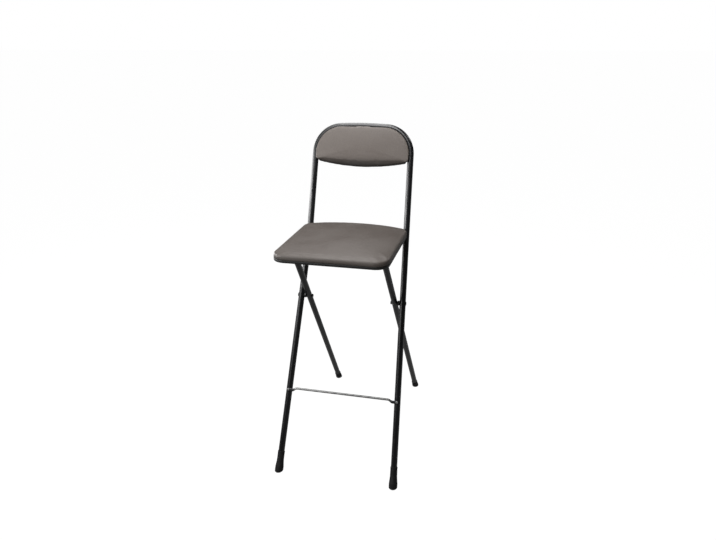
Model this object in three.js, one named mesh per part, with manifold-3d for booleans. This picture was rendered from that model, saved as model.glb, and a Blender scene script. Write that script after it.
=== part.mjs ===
// Folding bar stool with a padded seat and a padded back on a bent steel tube frame.
// Millimetres, +Z up, the sitter looks towards -Y, and +X is the stool's right-hand side from the front.
import * as THREE from "three";
import { mergeVertices } from "three/addons/utils/BufferGeometryUtils.js";
import Module from "manifold-3d";

const wasm = await Module();
wasm.setup();

// Fits that every piece shares
const gap = 0.3;
const runningGap = 0.3;
const overrun = 4;
const weldDistance = 0.0005;

// Front frame: one bent tube makes both front legs, both uprights and the hoop
const frontTubeRadius = 10;
const frontTubeWall = 1.2;
const frontFootHalfWidth = 190;
const kneeHalfWidth = 164;
const kneeBack = 335;
const kneeBelowSeat = 12;
const kneeBendRadius = 120;
const uprightLeanDegrees = 18.8;
const uprightLength = 267;
const hoopHalfWidth = 159.5;
const hoopCornerRadius = 88;
const hoopCrown = 2.6;
const hoopCrownRadius = 900;

// Rear frame: an inverted U that stands inside the front frame and carries the seat
const rearTubeRadius = 9.5;
const rearTubeWall = 1.2;
const rearFootBack = 606.5;
const rearTopBack = 108;
const rearTopHeight = 718.6;
const rearLegSplay = 21.3;
const rearCornerRadius = 45;

// Rubber feet, cut flat on the floor
const frontCapRadius = 13.6;
const frontCapTopRadius = 11.3;
const frontCapBand = 12;
const frontCapNeck = 36;
const frontCapLength = 62;
const frontTubeLift = 9;
const rearCapRadius = 12;
const rearCapTopRadius = 10.9;
const rearCapBand = 12;
const rearCapNeck = 26;
const rearCapLength = 36;
const rearTubeLift = 12;

// Pivot bolts where the legs cross
const pivotBoltRadius = 4;
const pivotHeadRadius = 6.5;
const pivotHeadHeight = 1.5;
const pivotNutRadius = 6.5;
const pivotNutHeight = 3.4;
const pivotThreadDepth = 2.4;
const pivotBushRadius = 8;
const pivotBushLength = 6.4;

// Footrest bar with flattened ends that lap onto the front of the legs
const footrestHeight = 238.5;
const footrestRise = 6;
const footrestRadius = 3.5;
const footrestTabLength = 20;
const footrestFlattening = 14;
const footrestTabHalfThickness = 1.2;
const footrestTabHalfHeight = 4.8;
const footrestTabPastAxis = 5;
const footrestTipHalfHeight = 2.4;
const footrestTipLength = 2.6;

// Screws
const screwShankRadius = 1.8;
const screwHeadRadius = 4;
const screwHeadHeight = 2.2;
const screwHeadFlatShare = 0.55;
const screwHeadRimShare = 0.35;
const screwBite = 5.5;
const backScrewBite = 4;
const footrestScrewRadius = 2;
const footrestScrewHeadRadius = 4;
const footrestScrewHeadHeight = 2;
const footrestScrewBite = 6;

// Seat outline, seen from above: it reaches past the crossbar in front and past the cross rod behind
const seatHalfWidth = 173;
const seatFrontReach = 112;
const seatRearReach = 18.4;
const seatUprightGap = 3.5;
const seatFrontCornerRadius = 41;
const seatRearCornerRadius = 34;
const seatRearSweepDegrees = 68;

// Seat layers, from the bottom up
const seatBoardThickness = 8;
const seatTrimThickness = 2.6;
const seatTrimInset = 0.8;
const seatPadHeight = 14.3;
const seatCrown = 6;

// Clips that hold the seat on the rear frame's crossbar
const clipBendMargin = 5;
const clipWidth = 20;
const clipThickness = 2;
const clipFlange = 19;

// Cross rod between the uprights and the two hooks that drop onto it
const crossRodRadius = 6;
const crossRodBelowSeat = 12;
const hookHalfSpacing = 62;
const hookWidth = 18;
const hookPlateThickness = 3;
const hookWall = 4.8;
const hookRearLipDegrees = -10;
const hookFrontLipDegrees = 145;
const hookScrewMargin = 7;
const hookScrewSpacing = 15;

// Back board and pad, in the plane of the uprights
const backFit = 1.2;
const backBoardThickness = 6;
const backBoardRear = -3;
const backSideLow = -22;
const backMiddleLow = -38.4;
const backLowCornerRadius = 7;
const backLapDegrees = 66;
const backRoll = 2.2;
const backCrown = 4.9;
const backTabThickness = 2;
const backTabWidth = 15;
const backTabReach = 24;
const backTabSideLevel = -8;
const backTabTopOffset = 45;

// Seat pad's side: how far in and how far up each row of its edge lies, as shares of its edge height
const seatEdgeShares = [[0.24, 0], [0.03, 0.18], [0, 0.4], [0.06, 0.62], [0.24, 0.84], [0.58, 1]];
const padInnerShares = [0.9, 0.72, 0.5, 0.26];
const padCrownPower = 2.4;

// Facets
const tubeSides = 16;
const boreSides = 10;
const roundSides = 14;
const screwSides = 10;
const nutSides = 6;
const capSides = 20;
const bendSteps = { knee: 3, hoopCorner: 8, crown: 2, rearCorner: 6 };
const cornerSteps = 7;
const edgeSteps = 6;
const frontEdgeSteps = 2;
const lowCornerSteps = 3;
const lapSteps = 3;
const rollSteps = 4;
const archSteps = 10;

const sides = [["left", -1], ["right", 1]];
const upAxis = new THREE.Vector3(0, 0, 1);
const degrees = Math.PI / 180;

// Materials
const finish = (color, roughness, metalness) =>
  new THREE.MeshStandardMaterial({ color, roughness, metalness });
const blackPaint = finish(0x1b1c1f, 0.28, 0.35);
const zinc = finish(0x9a9a98, 0.35, 0.9);
const blackRubber = finish(0x17171a, 0.7, 0);
const blackPlastic = finish(0x1e1d1d, 0.5, 0);
const vinyl = finish(0x7a6e68, 0.55, 0);
const plywood = finish(0x9b7f5c, 0.8, 0);

// A closed solid from a geometry's triangles, with shared corners merged and empty triangles left out
function toSolid(geometry) {
  const bare = geometry.clone();
  for (const name of Object.keys(bare.attributes)) {
    if (name !== "position") bare.deleteAttribute(name);
  }
  const merged = mergeVertices(bare, weldDistance);
  const corners = merged.index.array;
  const kept = [];
  for (let i = 0; i < corners.length; i += 3) {
    const [a, b, c] = [corners[i], corners[i + 1], corners[i + 2]];
    if (a !== b && b !== c && c !== a) kept.push(a, b, c);
  }
  return new wasm.Manifold(new wasm.Mesh({
    numProp: 3,
    vertProperties: new Float32Array(merged.attributes.position.array),
    triVerts: new Uint32Array(kept),
  }));
}

function toGeometry(solid) {
  const mesh = solid.getMesh();
  const geometry = new THREE.BufferGeometry();
  geometry.setAttribute("position", new THREE.BufferAttribute(new Float32Array(mesh.vertProperties), 3));
  geometry.setIndex(new THREE.BufferAttribute(new Uint32Array(mesh.triVerts), 1));
  geometry.computeVertexNormals();
  return geometry;
}

function cut(geometry, cutters) {
  const solid = cutters.reduce((body, cutter) => body.subtract(toSolid(cutter)), toSolid(geometry));
  return toGeometry(solid);
}

// A geometry whose own +Z is turned to a direction and whose origin is moved to a point
function aimed(geometry, point, direction) {
  const turn = new THREE.Quaternion().setFromUnitVectors(upAxis, direction.clone().normalize());
  return geometry.applyQuaternion(turn).translate(point.x, point.y, point.z);
}

// A round cutter or rod that starts at its own origin and runs along +Z
function rod(radius, length, sideCount) {
  return new THREE.CylinderGeometry(radius, radius, length, sideCount)
    .rotateX(Math.PI / 2)
    .translate(0, 0, length / 2);
}

// A turned piece: the profile is listed as [radius, height], upwards on the outside
function turned(profile, sideCount) {
  const points = profile.map(([radius, height]) => new THREE.Vector2(radius, height));
  return new THREE.LatheGeometry(points, sideCount).rotateX(Math.PI / 2);
}

// A route of straight runs joined by bends, with one station at each end of a run and a few round each bend
class BentRoute extends THREE.Curve {
  constructor(corners) {
    super();
    this.stations = [corners[0].at.clone()];
    for (let i = 1; i < corners.length - 1; i += 1) {
      const here = corners[i];
      const inward = corners[i - 1].at.clone().sub(here.at).normalize();
      const onward = corners[i + 1].at.clone().sub(here.at).normalize();
      const half = inward.angleTo(onward) / 2;
      const middle = inward.clone().add(onward).normalize().multiplyScalar(here.radius / Math.sin(half));
      const centre = here.at.clone().add(middle);
      const start = here.at.clone().addScaledVector(inward, here.radius / Math.tan(half)).sub(centre);
      const end = here.at.clone().addScaledVector(onward, here.radius / Math.tan(half)).sub(centre);
      const swing = start.angleTo(end);
      for (let step = 0; step <= here.steps; step += 1) {
        const share = step / here.steps;
        this.stations.push(centre.clone()
          .addScaledVector(start, Math.sin((1 - share) * swing) / Math.sin(swing))
          .addScaledVector(end, Math.sin(share * swing) / Math.sin(swing)));
      }
    }
    this.stations.push(corners[corners.length - 1].at.clone());
  }

  get runs() {
    return this.stations.length - 1;
  }

  getPoint(share, target = new THREE.Vector3()) {
    const place = share * this.runs;
    const first = Math.min(Math.floor(place), this.runs - 1);
    return target.lerpVectors(this.stations[first], this.stations[first + 1], place - first);
  }

  getPointAt(share, target) {
    return this.getPoint(share, target);
  }

  getTangentAt(share, target = new THREE.Vector3()) {
    const here = Math.round(share * this.runs);
    const back = Math.max(here - 1, 0);
    const ahead = Math.min(here + 1, this.runs);
    const arriving = this.stations[here].clone().sub(this.stations[back]).normalize();
    const leaving = this.stations[ahead].clone().sub(this.stations[here]).normalize();
    return target.copy(arriving).add(leaving).normalize();
  }
}

function ringPoints(radius, count) {
  return Array.from({ length: count }, (_, i) => {
    const angle = (i / count) * Math.PI * 2;
    return new THREE.Vector2(radius * Math.cos(angle), radius * Math.sin(angle));
  });
}

// A hollow round tube along a route, open at both ends
function bentTube(corners, radius, wall) {
  const route = new BentRoute(corners);
  const section = new THREE.Shape(ringPoints(radius, tubeSides));
  section.holes.push(new THREE.Path(ringPoints(radius - wall, boreSides)));
  return new THREE.ExtrudeGeometry(section, { steps: route.runs, extrudePath: route, bevelEnabled: false });
}

const stool = new THREE.Group();
const standing = new THREE.Group();
stool.add(standing);

function addPiece(name, geometry, material, parent = standing) {
  const mesh = new THREE.Mesh(geometry, material);
  mesh.name = name;
  parent.add(mesh);
  return mesh;
}

// Screw with its seat at the origin: the head lies below it and the shank runs up
function screw(shankRadius, length, headRadius, headHeight) {
  return turned([
    [0, -headHeight],
    [headRadius * screwHeadFlatShare, -headHeight],
    [headRadius, -headHeight * screwHeadRimShare],
    [headRadius, 0],
    [shankRadius, 0],
    [shankRadius, length],
    [0, length],
  ], screwSides);
}

// Axes of the legs, and the point where the two frames cross in side view
const along = (from, to) => to.clone().sub(from).normalize();
const atHeight = (from, to, height) => from.clone().lerp(to, (height - from.z) / (to.z - from.z));

const seatBottom = rearTopHeight + rearTubeRadius + gap;
const kneeHeight = seatBottom - kneeBelowSeat;
const frontFoot = (side) => new THREE.Vector3(side * frontFootHalfWidth, 0, 0);
const knee = (side) => new THREE.Vector3(side * kneeHalfWidth, kneeBack, kneeHeight);

const frontLean = kneeBack / kneeHeight;
const rearLean = (rearFootBack - rearTopBack) / rearTopHeight;
const pivotHeight = rearFootBack / (frontLean + rearLean);

// The rear legs run inside the front legs, a bush's length and a gap at each of its ends apart at the pivot
const pivotOuter = atHeight(frontFoot(1), knee(1), pivotHeight).x;
const pivotInner = pivotOuter - frontTubeRadius - rearTubeRadius - pivotBushLength - 2 * gap;
const rearFootHalfWidth = pivotInner + rearLegSplay * (pivotHeight / rearTopHeight);
const rearTopHalfWidth = rearFootHalfWidth - rearLegSplay;
const rearFoot = (side) => new THREE.Vector3(side * rearFootHalfWidth, rearFootBack, 0);
const rearTop = (side) => new THREE.Vector3(side * rearTopHalfWidth, rearTopBack, rearTopHeight);

// Front frame
const uprightLean = uprightLeanDegrees * degrees;
const uprightDirection = new THREE.Vector3(0, Math.sin(uprightLean), Math.cos(uprightLean));
const hoopBase = new THREE.Vector3(0, kneeBack, kneeHeight)
  .addScaledVector(uprightDirection, uprightLength);
const hoopFlat = hoopHalfWidth - hoopCornerRadius;
const hoopCrownAt = (x) => hoopCrown * (1 - x / hoopFlat);
const hoopCorner = (side) => hoopBase.clone()
  .addScaledVector(uprightDirection, hoopCornerRadius + hoopCrownAt(hoopHalfWidth))
  .setX(side * hoopHalfWidth);
const hoopTop = hoopBase.clone().addScaledVector(uprightDirection, hoopCornerRadius + hoopCrown);
const frontTubeStart = (side) =>
  frontFoot(side).addScaledVector(along(frontFoot(side), knee(side)), frontTubeLift);

const frontTube = bentTube([
  { at: frontTubeStart(-1) },
  { at: knee(-1), radius: kneeBendRadius, steps: bendSteps.knee },
  { at: hoopCorner(-1), radius: hoopCornerRadius, steps: bendSteps.hoopCorner },
  { at: hoopTop, radius: hoopCrownRadius, steps: bendSteps.crown },
  { at: hoopCorner(1), radius: hoopCornerRadius, steps: bendSteps.hoopCorner },
  { at: knee(1), radius: kneeBendRadius, steps: bendSteps.knee },
  { at: frontTubeStart(1) },
], frontTubeRadius, frontTubeWall);

// Rear frame
const rearTubeStart = (side) =>
  rearFoot(side).addScaledVector(along(rearFoot(side), rearTop(side)), rearTubeLift);
const rearTube = bentTube([
  { at: rearTubeStart(-1) },
  { at: rearTop(-1), radius: rearCornerRadius, steps: bendSteps.rearCorner },
  { at: rearTop(1), radius: rearCornerRadius, steps: bendSteps.rearCorner },
  { at: rearTubeStart(1) },
], rearTubeRadius, rearTubeWall);

// Pivot bolts run along X through both tubes where they cross, head outside and nut inside
const frontCuts = [];
const rearCuts = [];
for (const [sideName, side] of sides) {
  const outer = new THREE.Vector3(side * pivotOuter, frontLean * pivotHeight, pivotHeight);
  const inner = outer.clone().setX(side * pivotInner);
  const inward = new THREE.Vector3(-side, 0, 0);
  const headSeat = outer.clone().addScaledVector(inward, -frontTubeRadius - gap);
  const nutSeat = inner.clone().addScaledVector(inward, rearTubeRadius + gap);
  const boltLength = Math.abs(headSeat.x - nutSeat.x) + pivotThreadDepth;

  const hole = () => aimed(
    rod(pivotBoltRadius + runningGap, boltLength + overrun, roundSides),
    headSeat.clone().addScaledVector(inward, -overrun / 2),
    inward,
  );
  frontCuts.push(hole());
  rearCuts.push(hole());

  const bolt = screw(pivotBoltRadius, boltLength, pivotHeadRadius, pivotHeadHeight);
  addPiece(`pivot_bolt_${sideName}`, aimed(bolt, headSeat, inward), zinc);

  const bushStart = outer.clone().addScaledVector(inward, frontTubeRadius + gap);
  const bush = cut(rod(pivotBushRadius, pivotBushLength, roundSides), [
    rod(pivotBoltRadius + runningGap, pivotBushLength + 2 * overrun, roundSides).translate(0, 0, -overrun),
  ]);
  addPiece(`pivot_bush_${sideName}`, aimed(bush, bushStart, inward), blackPlastic);

  const nutBore = rod(pivotBoltRadius + runningGap, pivotThreadDepth + gap + overrun, roundSides);
  const nut = cut(rod(pivotNutRadius, pivotNutHeight, nutSides), [nutBore.translate(0, 0, -overrun)]);
  addPiece(`pivot_nut_${sideName}`, aimed(nut, nutSeat, inward), zinc);
}

// Footrest bar: round between the legs, with ends that drop a little and lie flat on the front of each leg
const frontNormal = new THREE.Vector3(0, -kneeHeight, kneeBack).normalize();
const footrestStandOff = frontTubeRadius + gap + footrestTabHalfThickness;
const footrestAxis = (side) => atHeight(frontFoot(side), knee(side), footrestHeight);
const footrestEnd = footrestAxis(1).x + footrestTabPastAxis;
const footrestTabStart = footrestEnd - footrestTabLength;
const footrestRows = [
  [footrestEnd, footrestTabHalfThickness, footrestTipHalfHeight, 0],
  [footrestEnd - footrestTipLength, footrestTabHalfThickness, footrestTabHalfHeight, 0],
  [footrestTabStart, footrestTabHalfThickness, footrestTabHalfHeight, 0],
  [footrestTabStart - footrestFlattening, footrestRadius, footrestRadius, footrestRise],
];

// A closed bar from rows of [place along the bar, half thickness, half height, rise]
function flattenedBar(rows) {
  const corners = [];
  for (const [place, halfThickness, halfHeight, rise] of rows) {
    for (const point of ringPoints(1, roundSides)) {
      corners.push(place, rise + halfHeight * point.y, halfThickness * point.x);
    }
  }
  const faces = [];
  for (let row = 0; row < rows.length - 1; row += 1) {
    for (let i = 0; i < roundSides; i += 1) {
      const next = (i + 1) % roundSides;
      const [a, b] = [row * roundSides + i, row * roundSides + next];
      const [c, d] = [a + roundSides, b + roundSides];
      faces.push(a, b, c, b, d, c);
    }
  }
  const last = (rows.length - 1) * roundSides;
  for (let i = 1; i < roundSides - 1; i += 1) {
    faces.push(0, i + 1, i);
    faces.push(last, last + i, last + i + 1);
  }
  const geometry = new THREE.BufferGeometry();
  geometry.setAttribute("position", new THREE.Float32BufferAttribute(corners, 3));
  geometry.setIndex(faces);
  return geometry;
}

const mirroredRows = footrestRows.map(([place, ...halves]) => [-place, ...halves]).reverse();
const footrestSeat = new THREE.Vector3(0, footrestAxis(1).y, footrestAxis(1).z)
  .addScaledVector(frontNormal, footrestStandOff);
const footrestTurn = new THREE.Quaternion().setFromUnitVectors(upAxis, frontNormal);
const footrestCuts = [];
for (const [sideName, side] of sides) {
  const backwards = frontNormal.clone().negate();
  const seat = footrestSeat.clone()
    .setX(footrestAxis(side).x)
    .addScaledVector(frontNormal, footrestTabHalfThickness + gap);
  const throughHole = aimed(
    rod(footrestScrewRadius + gap, footrestScrewBite + 2 * overrun, screwSides),
    seat.clone().addScaledVector(frontNormal, overrun),
    backwards,
  );
  footrestCuts.push(throughHole);
  frontCuts.push(throughHole.clone());
  const footrestScrew = screw(
    footrestScrewRadius,
    footrestScrewBite,
    footrestScrewHeadRadius,
    footrestScrewHeadHeight,
  );
  addPiece(`footrest_screw_${sideName}`, aimed(footrestScrew, seat, backwards), zinc);
}
const footrestBar = flattenedBar([...footrestRows, ...mirroredRows])
  .applyQuaternion(footrestTurn)
  .translate(footrestSeat.x, footrestSeat.y, footrestSeat.z);
addPiece("footrest_bar", cut(footrestBar, footrestCuts), zinc);
addPiece("front_frame", cut(frontTube, frontCuts), blackPaint);
addPiece("rear_frame", cut(rearTube, rearCuts), blackPaint);

// Cross rod, welded between the front tubes under the rear of the seat
const crossRodEnd = atHeight(frontFoot(1), knee(1), seatBottom - crossRodBelowSeat);
const crossRodHalfLength = crossRodEnd.x - frontTubeRadius - gap;
addPiece("cross_rod", aimed(
  rod(crossRodRadius, 2 * crossRodHalfLength, roundSides),
  new THREE.Vector3(-crossRodHalfLength, crossRodEnd.y, crossRodEnd.z),
  new THREE.Vector3(1, 0, 0),
), blackPaint);

// Rubber feet: a cup on each tube end, with the sole cut level with the floor
function footCap(foot, top, tubeRadius, capRadius, capTopRadius, band, neck, length, lift) {
  const direction = along(foot, top);
  const spare = 2 * capRadius;
  const cap = turned([
    [0, -spare],
    [capRadius, -spare],
    [capRadius, band],
    [capTopRadius, neck],
    [capTopRadius, length],
    [tubeRadius + gap, length],
    [tubeRadius + gap, lift - gap],
    [0, lift - gap],
  ], capSides);
  const floor = new THREE.BoxGeometry(4 * spare, 4 * spare, 2 * spare).translate(foot.x, foot.y, -spare);
  return cut(aimed(cap, foot, direction), [floor]);
}

for (const [sideName, side] of sides) {
  addPiece(`front_foot_${sideName}`, footCap(
    frontFoot(side),
    knee(side),
    frontTubeRadius,
    frontCapRadius,
    frontCapTopRadius,
    frontCapBand,
    frontCapNeck,
    frontCapLength,
    frontTubeLift,
  ), blackRubber);
  addPiece(`rear_foot_${sideName}`, footCap(
    rearFoot(side),
    rearTop(side),
    rearTubeRadius,
    rearCapRadius,
    rearCapTopRadius,
    rearCapBand,
    rearCapNeck,
    rearCapLength,
    rearTubeLift,
  ), blackRubber);
}

// Outlines are lists of points, anticlockwise, made as a right half and its mirror image
function arcPoints(x, y, radius, from, to, steps) {
  return Array.from({ length: steps + 1 }, (_, i) => {
    const angle = from + (to - from) * (i / steps);
    return new THREE.Vector2(x + radius * Math.cos(angle), y + radius * Math.sin(angle));
  });
}

function mirrored(rightHalf) {
  const leftHalf = rightHalf.slice(1, -1).reverse().map((point) => new THREE.Vector2(-point.x, point.y));
  return [...rightHalf, ...leftHalf];
}

function stepped(from, to, steps) {
  return Array.from({ length: steps }, (_, i) => from.clone().lerp(to, i / steps));
}

function inset(outline, distance) {
  return outline.map((point, i) => {
    const before = outline[(i + outline.length - 1) % outline.length];
    const after = outline[(i + 1) % outline.length];
    const arriving = point.clone().sub(before).normalize();
    const leaving = after.clone().sub(point).normalize();
    const heading = arriving.add(leaving).normalize();
    return new THREE.Vector2(point.x - heading.y * distance, point.y + heading.x * distance);
  });
}

const seatRearSweep = seatRearSweepDegrees * degrees;
const seatFront = rearTopBack - seatFrontReach;
const seatRear = crossRodEnd.y + seatRearReach;
const uprightAxis = kneeBack + kneeBelowSeat * Math.tan(uprightLean);
const uprightFace = uprightAxis - frontTubeRadius / Math.cos(uprightLean);
const seatSideEnd = uprightFace - seatUprightGap - seatRearCornerRadius * Math.sin(seatRearSweep);
const seatRearCorner = arcPoints(
  seatHalfWidth - seatRearCornerRadius,
  seatSideEnd,
  seatRearCornerRadius,
  0,
  seatRearSweep,
  cornerSteps,
);
const bowStart = seatRearCorner[seatRearCorner.length - 1];
const bowControl = new THREE.Vector2(
  bowStart.x - (seatRear - bowStart.y) * Math.tan(seatRearSweep),
  seatRear,
);
const rearBow = new THREE.QuadraticBezierCurve(bowStart, bowControl, new THREE.Vector2(0, seatRear));
const seatFrontCorner = arcPoints(
  seatHalfWidth - seatFrontCornerRadius,
  seatFront + seatFrontCornerRadius,
  seatFrontCornerRadius,
  -Math.PI / 2,
  0,
  cornerSteps,
);
const seatOutline = mirrored([
  ...stepped(new THREE.Vector2(0, seatFront), seatFrontCorner[0], frontEdgeSteps),
  ...seatFrontCorner,
  ...stepped(seatFrontCorner[cornerSteps], seatRearCorner[0], edgeSteps).slice(1),
  ...seatRearCorner,
  ...rearBow.getPoints(edgeSteps).slice(1),
]);

// A plate with the given outline and holes, lying on its own z = 0
function plate(outline, thickness, holes = []) {
  const shape = new THREE.Shape(outline);
  for (const hole of holes) shape.holes.push(new THREE.Path(hole));
  return new THREE.ExtrudeGeometry(shape, { depth: thickness, bevelEnabled: false });
}

// A crowned pad: rows of [in, up] from the outline make its side, and rings that shrink make its domed top
function pad(outline, sideRows, crown) {
  const reach = new THREE.Box2().setFromPoints(outline);
  const middle = reach.getCenter(new THREE.Vector2());
  const rows = sideRows.map(([inward, up]) =>
    inset(outline, inward).map((point) => [point.x, point.y, up]));
  const shoulder = rows[rows.length - 1];
  const [low, edgeHeight] = [rows[0][0][2], shoulder[0][2]];
  for (const share of padInnerShares) {
    const height = edgeHeight + crown * (1 - share ** padCrownPower);
    rows.push(shoulder.map(([x, y]) => [x * share, middle.y + (y - middle.y) * share, height]));
  }
  const count = outline.length;
  const corners = [...rows.flat(), [0, middle.y, low], [0, middle.y, edgeHeight + crown]];
  const [bottom, top] = [corners.length - 2, corners.length - 1];
  const lastRow = (rows.length - 1) * count;
  const faces = [];
  for (let i = 0; i < count; i += 1) {
    const next = (i + 1) % count;
    faces.push(bottom, next, i);
    faces.push(top, lastRow + i, lastRow + next);
    for (let row = 0; row < rows.length - 1; row += 1) {
      const [a, b] = [row * count + i, row * count + next];
      faces.push(a, b, a + count, b, b + count, a + count);
    }
  }
  const geometry = new THREE.BufferGeometry();
  geometry.setAttribute("position", new THREE.Float32BufferAttribute(corners.flat(), 3));
  geometry.setIndex(faces);
  return geometry;
}

// Seat: board, edge trim and pad, carried by two clips and two hooks
const seatTrimInner = seatTrimInset + seatTrimThickness;
const screwLength = (plateThickness) => plateThickness + 2 * gap + screwBite;
const boardCuts = [];
const seat = new THREE.Group();
seat.position.z = seatBottom;
standing.add(seat);

// A screw from below that clamps a plate of the given thickness to the seat board
function seatScrew(name, x, y, plateThickness) {
  const seatLevel = -2 * gap - plateThickness;
  const geometry = screw(screwShankRadius, screwLength(plateThickness), screwHeadRadius, screwHeadHeight);
  addPiece(name, geometry.translate(x, y, seatLevel), zinc, seat);
  boardCuts.push(rod(screwShankRadius + gap, screwBite + gap + overrun, screwSides)
    .translate(x, y, -overrun));
}

function screwHole(x, y, from, length) {
  return rod(screwShankRadius + gap, length + 2 * overrun, screwSides).translate(x, y, from - overrun);
}

// A side-view profile in [back, up], pushed out along X to a width about the middle
function sidePlate(points, width) {
  const shape = new THREE.Shape(points);
  const geometry = new THREE.ExtrudeGeometry(shape, { depth: width, bevelEnabled: false });
  const turn = new THREE.Matrix4().makeBasis(
    new THREE.Vector3(0, 1, 0),
    new THREE.Vector3(0, 0, 1),
    new THREE.Vector3(1, 0, 0),
  );
  return geometry.translate(0, 0, -width / 2).applyMatrix4(turn);
}

const clipInner = rearTubeRadius + gap;
const clipOuter = clipInner + clipThickness;
const clipTop = rearTubeRadius;
const clipProfile = [
  new THREE.Vector2(-clipOuter - clipFlange, clipTop),
  new THREE.Vector2(-clipOuter - clipFlange, clipTop - clipThickness),
  new THREE.Vector2(-clipOuter, clipTop - clipThickness),
  ...arcPoints(0, 0, clipOuter, Math.PI, 2 * Math.PI, archSteps),
  new THREE.Vector2(clipOuter, clipTop - clipThickness),
  new THREE.Vector2(clipOuter + clipFlange, clipTop - clipThickness),
  new THREE.Vector2(clipOuter + clipFlange, clipTop),
  new THREE.Vector2(clipInner, clipTop),
  ...arcPoints(0, 0, clipInner, 2 * Math.PI, Math.PI, archSteps),
  new THREE.Vector2(-clipInner, clipTop),
];
const clipMiddle = rearTopHalfWidth - rearCornerRadius - clipBendMargin - clipWidth / 2;
for (const [sideName, side] of sides) {
  const x = side * clipMiddle;
  const screwOffset = clipOuter + clipFlange / 2;
  const cuts = [];
  for (const [endName, end] of [["front", -1], ["rear", 1]]) {
    const y = rearTopBack + end * screwOffset;
    seatScrew(`clip_screw_${sideName}_${endName}`, x, y, clipThickness);
    cuts.push(screwHole(x, y, -gap - clipThickness, clipThickness));
  }
  const clip = sidePlate(clipProfile, clipWidth)
    .translate(x, rearTopBack, -gap - rearTubeRadius);
  addPiece(`crossbar_clip_${sideName}`, cut(clip, cuts), zinc, seat);
}

const hookInner = crossRodRadius + gap;
const hookTop = crossRodBelowSeat - gap;
const hookOuter = hookInner + hookWall;
const hookPlateEnd = hookOuter + 2 * hookScrewMargin + hookScrewSpacing;
const hookScrews = [["rear", hookOuter + hookScrewMargin], ["front", hookPlateEnd - hookScrewMargin]];
const hookRearLip = hookRearLipDegrees * degrees;
const hookFrontLip = hookFrontLipDegrees * degrees;
const hookProfile = [
  new THREE.Vector2(hookOuter, hookTop),
  new THREE.Vector2(-hookPlateEnd, hookTop),
  new THREE.Vector2(-hookPlateEnd, hookTop - hookPlateThickness),
  new THREE.Vector2(-hookOuter, hookTop - hookPlateThickness),
  new THREE.Vector2(-hookOuter, hookInner * Math.sin(hookFrontLip)),
  ...arcPoints(0, 0, hookInner, hookFrontLip, hookRearLip, archSteps),
  new THREE.Vector2(hookOuter, hookInner * Math.sin(hookRearLip)),
];
for (const [sideName, side] of sides) {
  const x = side * hookHalfSpacing;
  const cuts = [];
  for (const [endName, ahead] of hookScrews) {
    const y = crossRodEnd.y - ahead;
    seatScrew(`hook_screw_${sideName}_${endName}`, x, y, hookPlateThickness);
    cuts.push(screwHole(x, y, -gap - hookPlateThickness, hookPlateThickness));
  }
  const hook = sidePlate(hookProfile, hookWidth)
    .translate(x, crossRodEnd.y, -crossRodBelowSeat);
  addPiece(`seat_hook_${sideName}`, cut(hook, cuts), blackPlastic, seat);
}

const seatBoard = plate(inset(seatOutline, seatTrimInner + gap), seatBoardThickness);
addPiece("seat_board", cut(seatBoard, boardCuts), plywood, seat);
const trimOutline = inset(seatOutline, seatTrimInset);
const seatTrim = plate(trimOutline, seatBoardThickness, [inset(seatOutline, seatTrimInner)]);
addPiece("seat_trim", seatTrim, blackPlastic, seat);
const seatEdge = seatEdgeShares.map(([inward, up]) => [inward * seatPadHeight, up * seatPadHeight]);
const seatPad = pad(seatOutline, seatEdge, seatCrown);
addPiece("seat_cushion", seatPad.translate(0, 0, seatBoardThickness + gap), vinyl, seat);

// Back: a board and a pad that fill the hoop, in a group whose y runs up the uprights and z forwards
const back = new THREE.Group();
back.position.copy(hoopBase);
back.rotation.x = Math.PI / 2 - uprightLean;
standing.add(back);

const backHalfWidth = hoopHalfWidth - frontTubeRadius - backFit;
const backCornerRadius = hoopCornerRadius - frontTubeRadius - backFit;
const backBow = backSideLow - backMiddleLow;
const backBowRadius = (backHalfWidth ** 2 + backBow ** 2) / (2 * backBow);
const backBowEnd = Math.asin((backHalfWidth - backLowCornerRadius) / backBowRadius);
const backLowEdge = arcPoints(
  0,
  backMiddleLow + backBowRadius,
  backBowRadius,
  -Math.PI / 2,
  backBowEnd - Math.PI / 2,
  edgeSteps,
);
const backLowCorner = new THREE.QuadraticBezierCurve(
  backLowEdge[edgeSteps],
  new THREE.Vector2(backHalfWidth, backSideLow),
  new THREE.Vector2(backHalfWidth, backSideLow + backLowCornerRadius),
).getPoints(lowCornerSteps);
const backTopCorner = arcPoints(
  backHalfWidth - backCornerRadius,
  0,
  backCornerRadius,
  0,
  Math.PI / 2,
  cornerSteps,
);
const backOutline = mirrored([
  ...backLowEdge,
  ...backLowCorner.slice(1),
  ...backTopCorner,
  new THREE.Vector2(0, backCornerRadius + hoopCrown / 2),
]);

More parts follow.
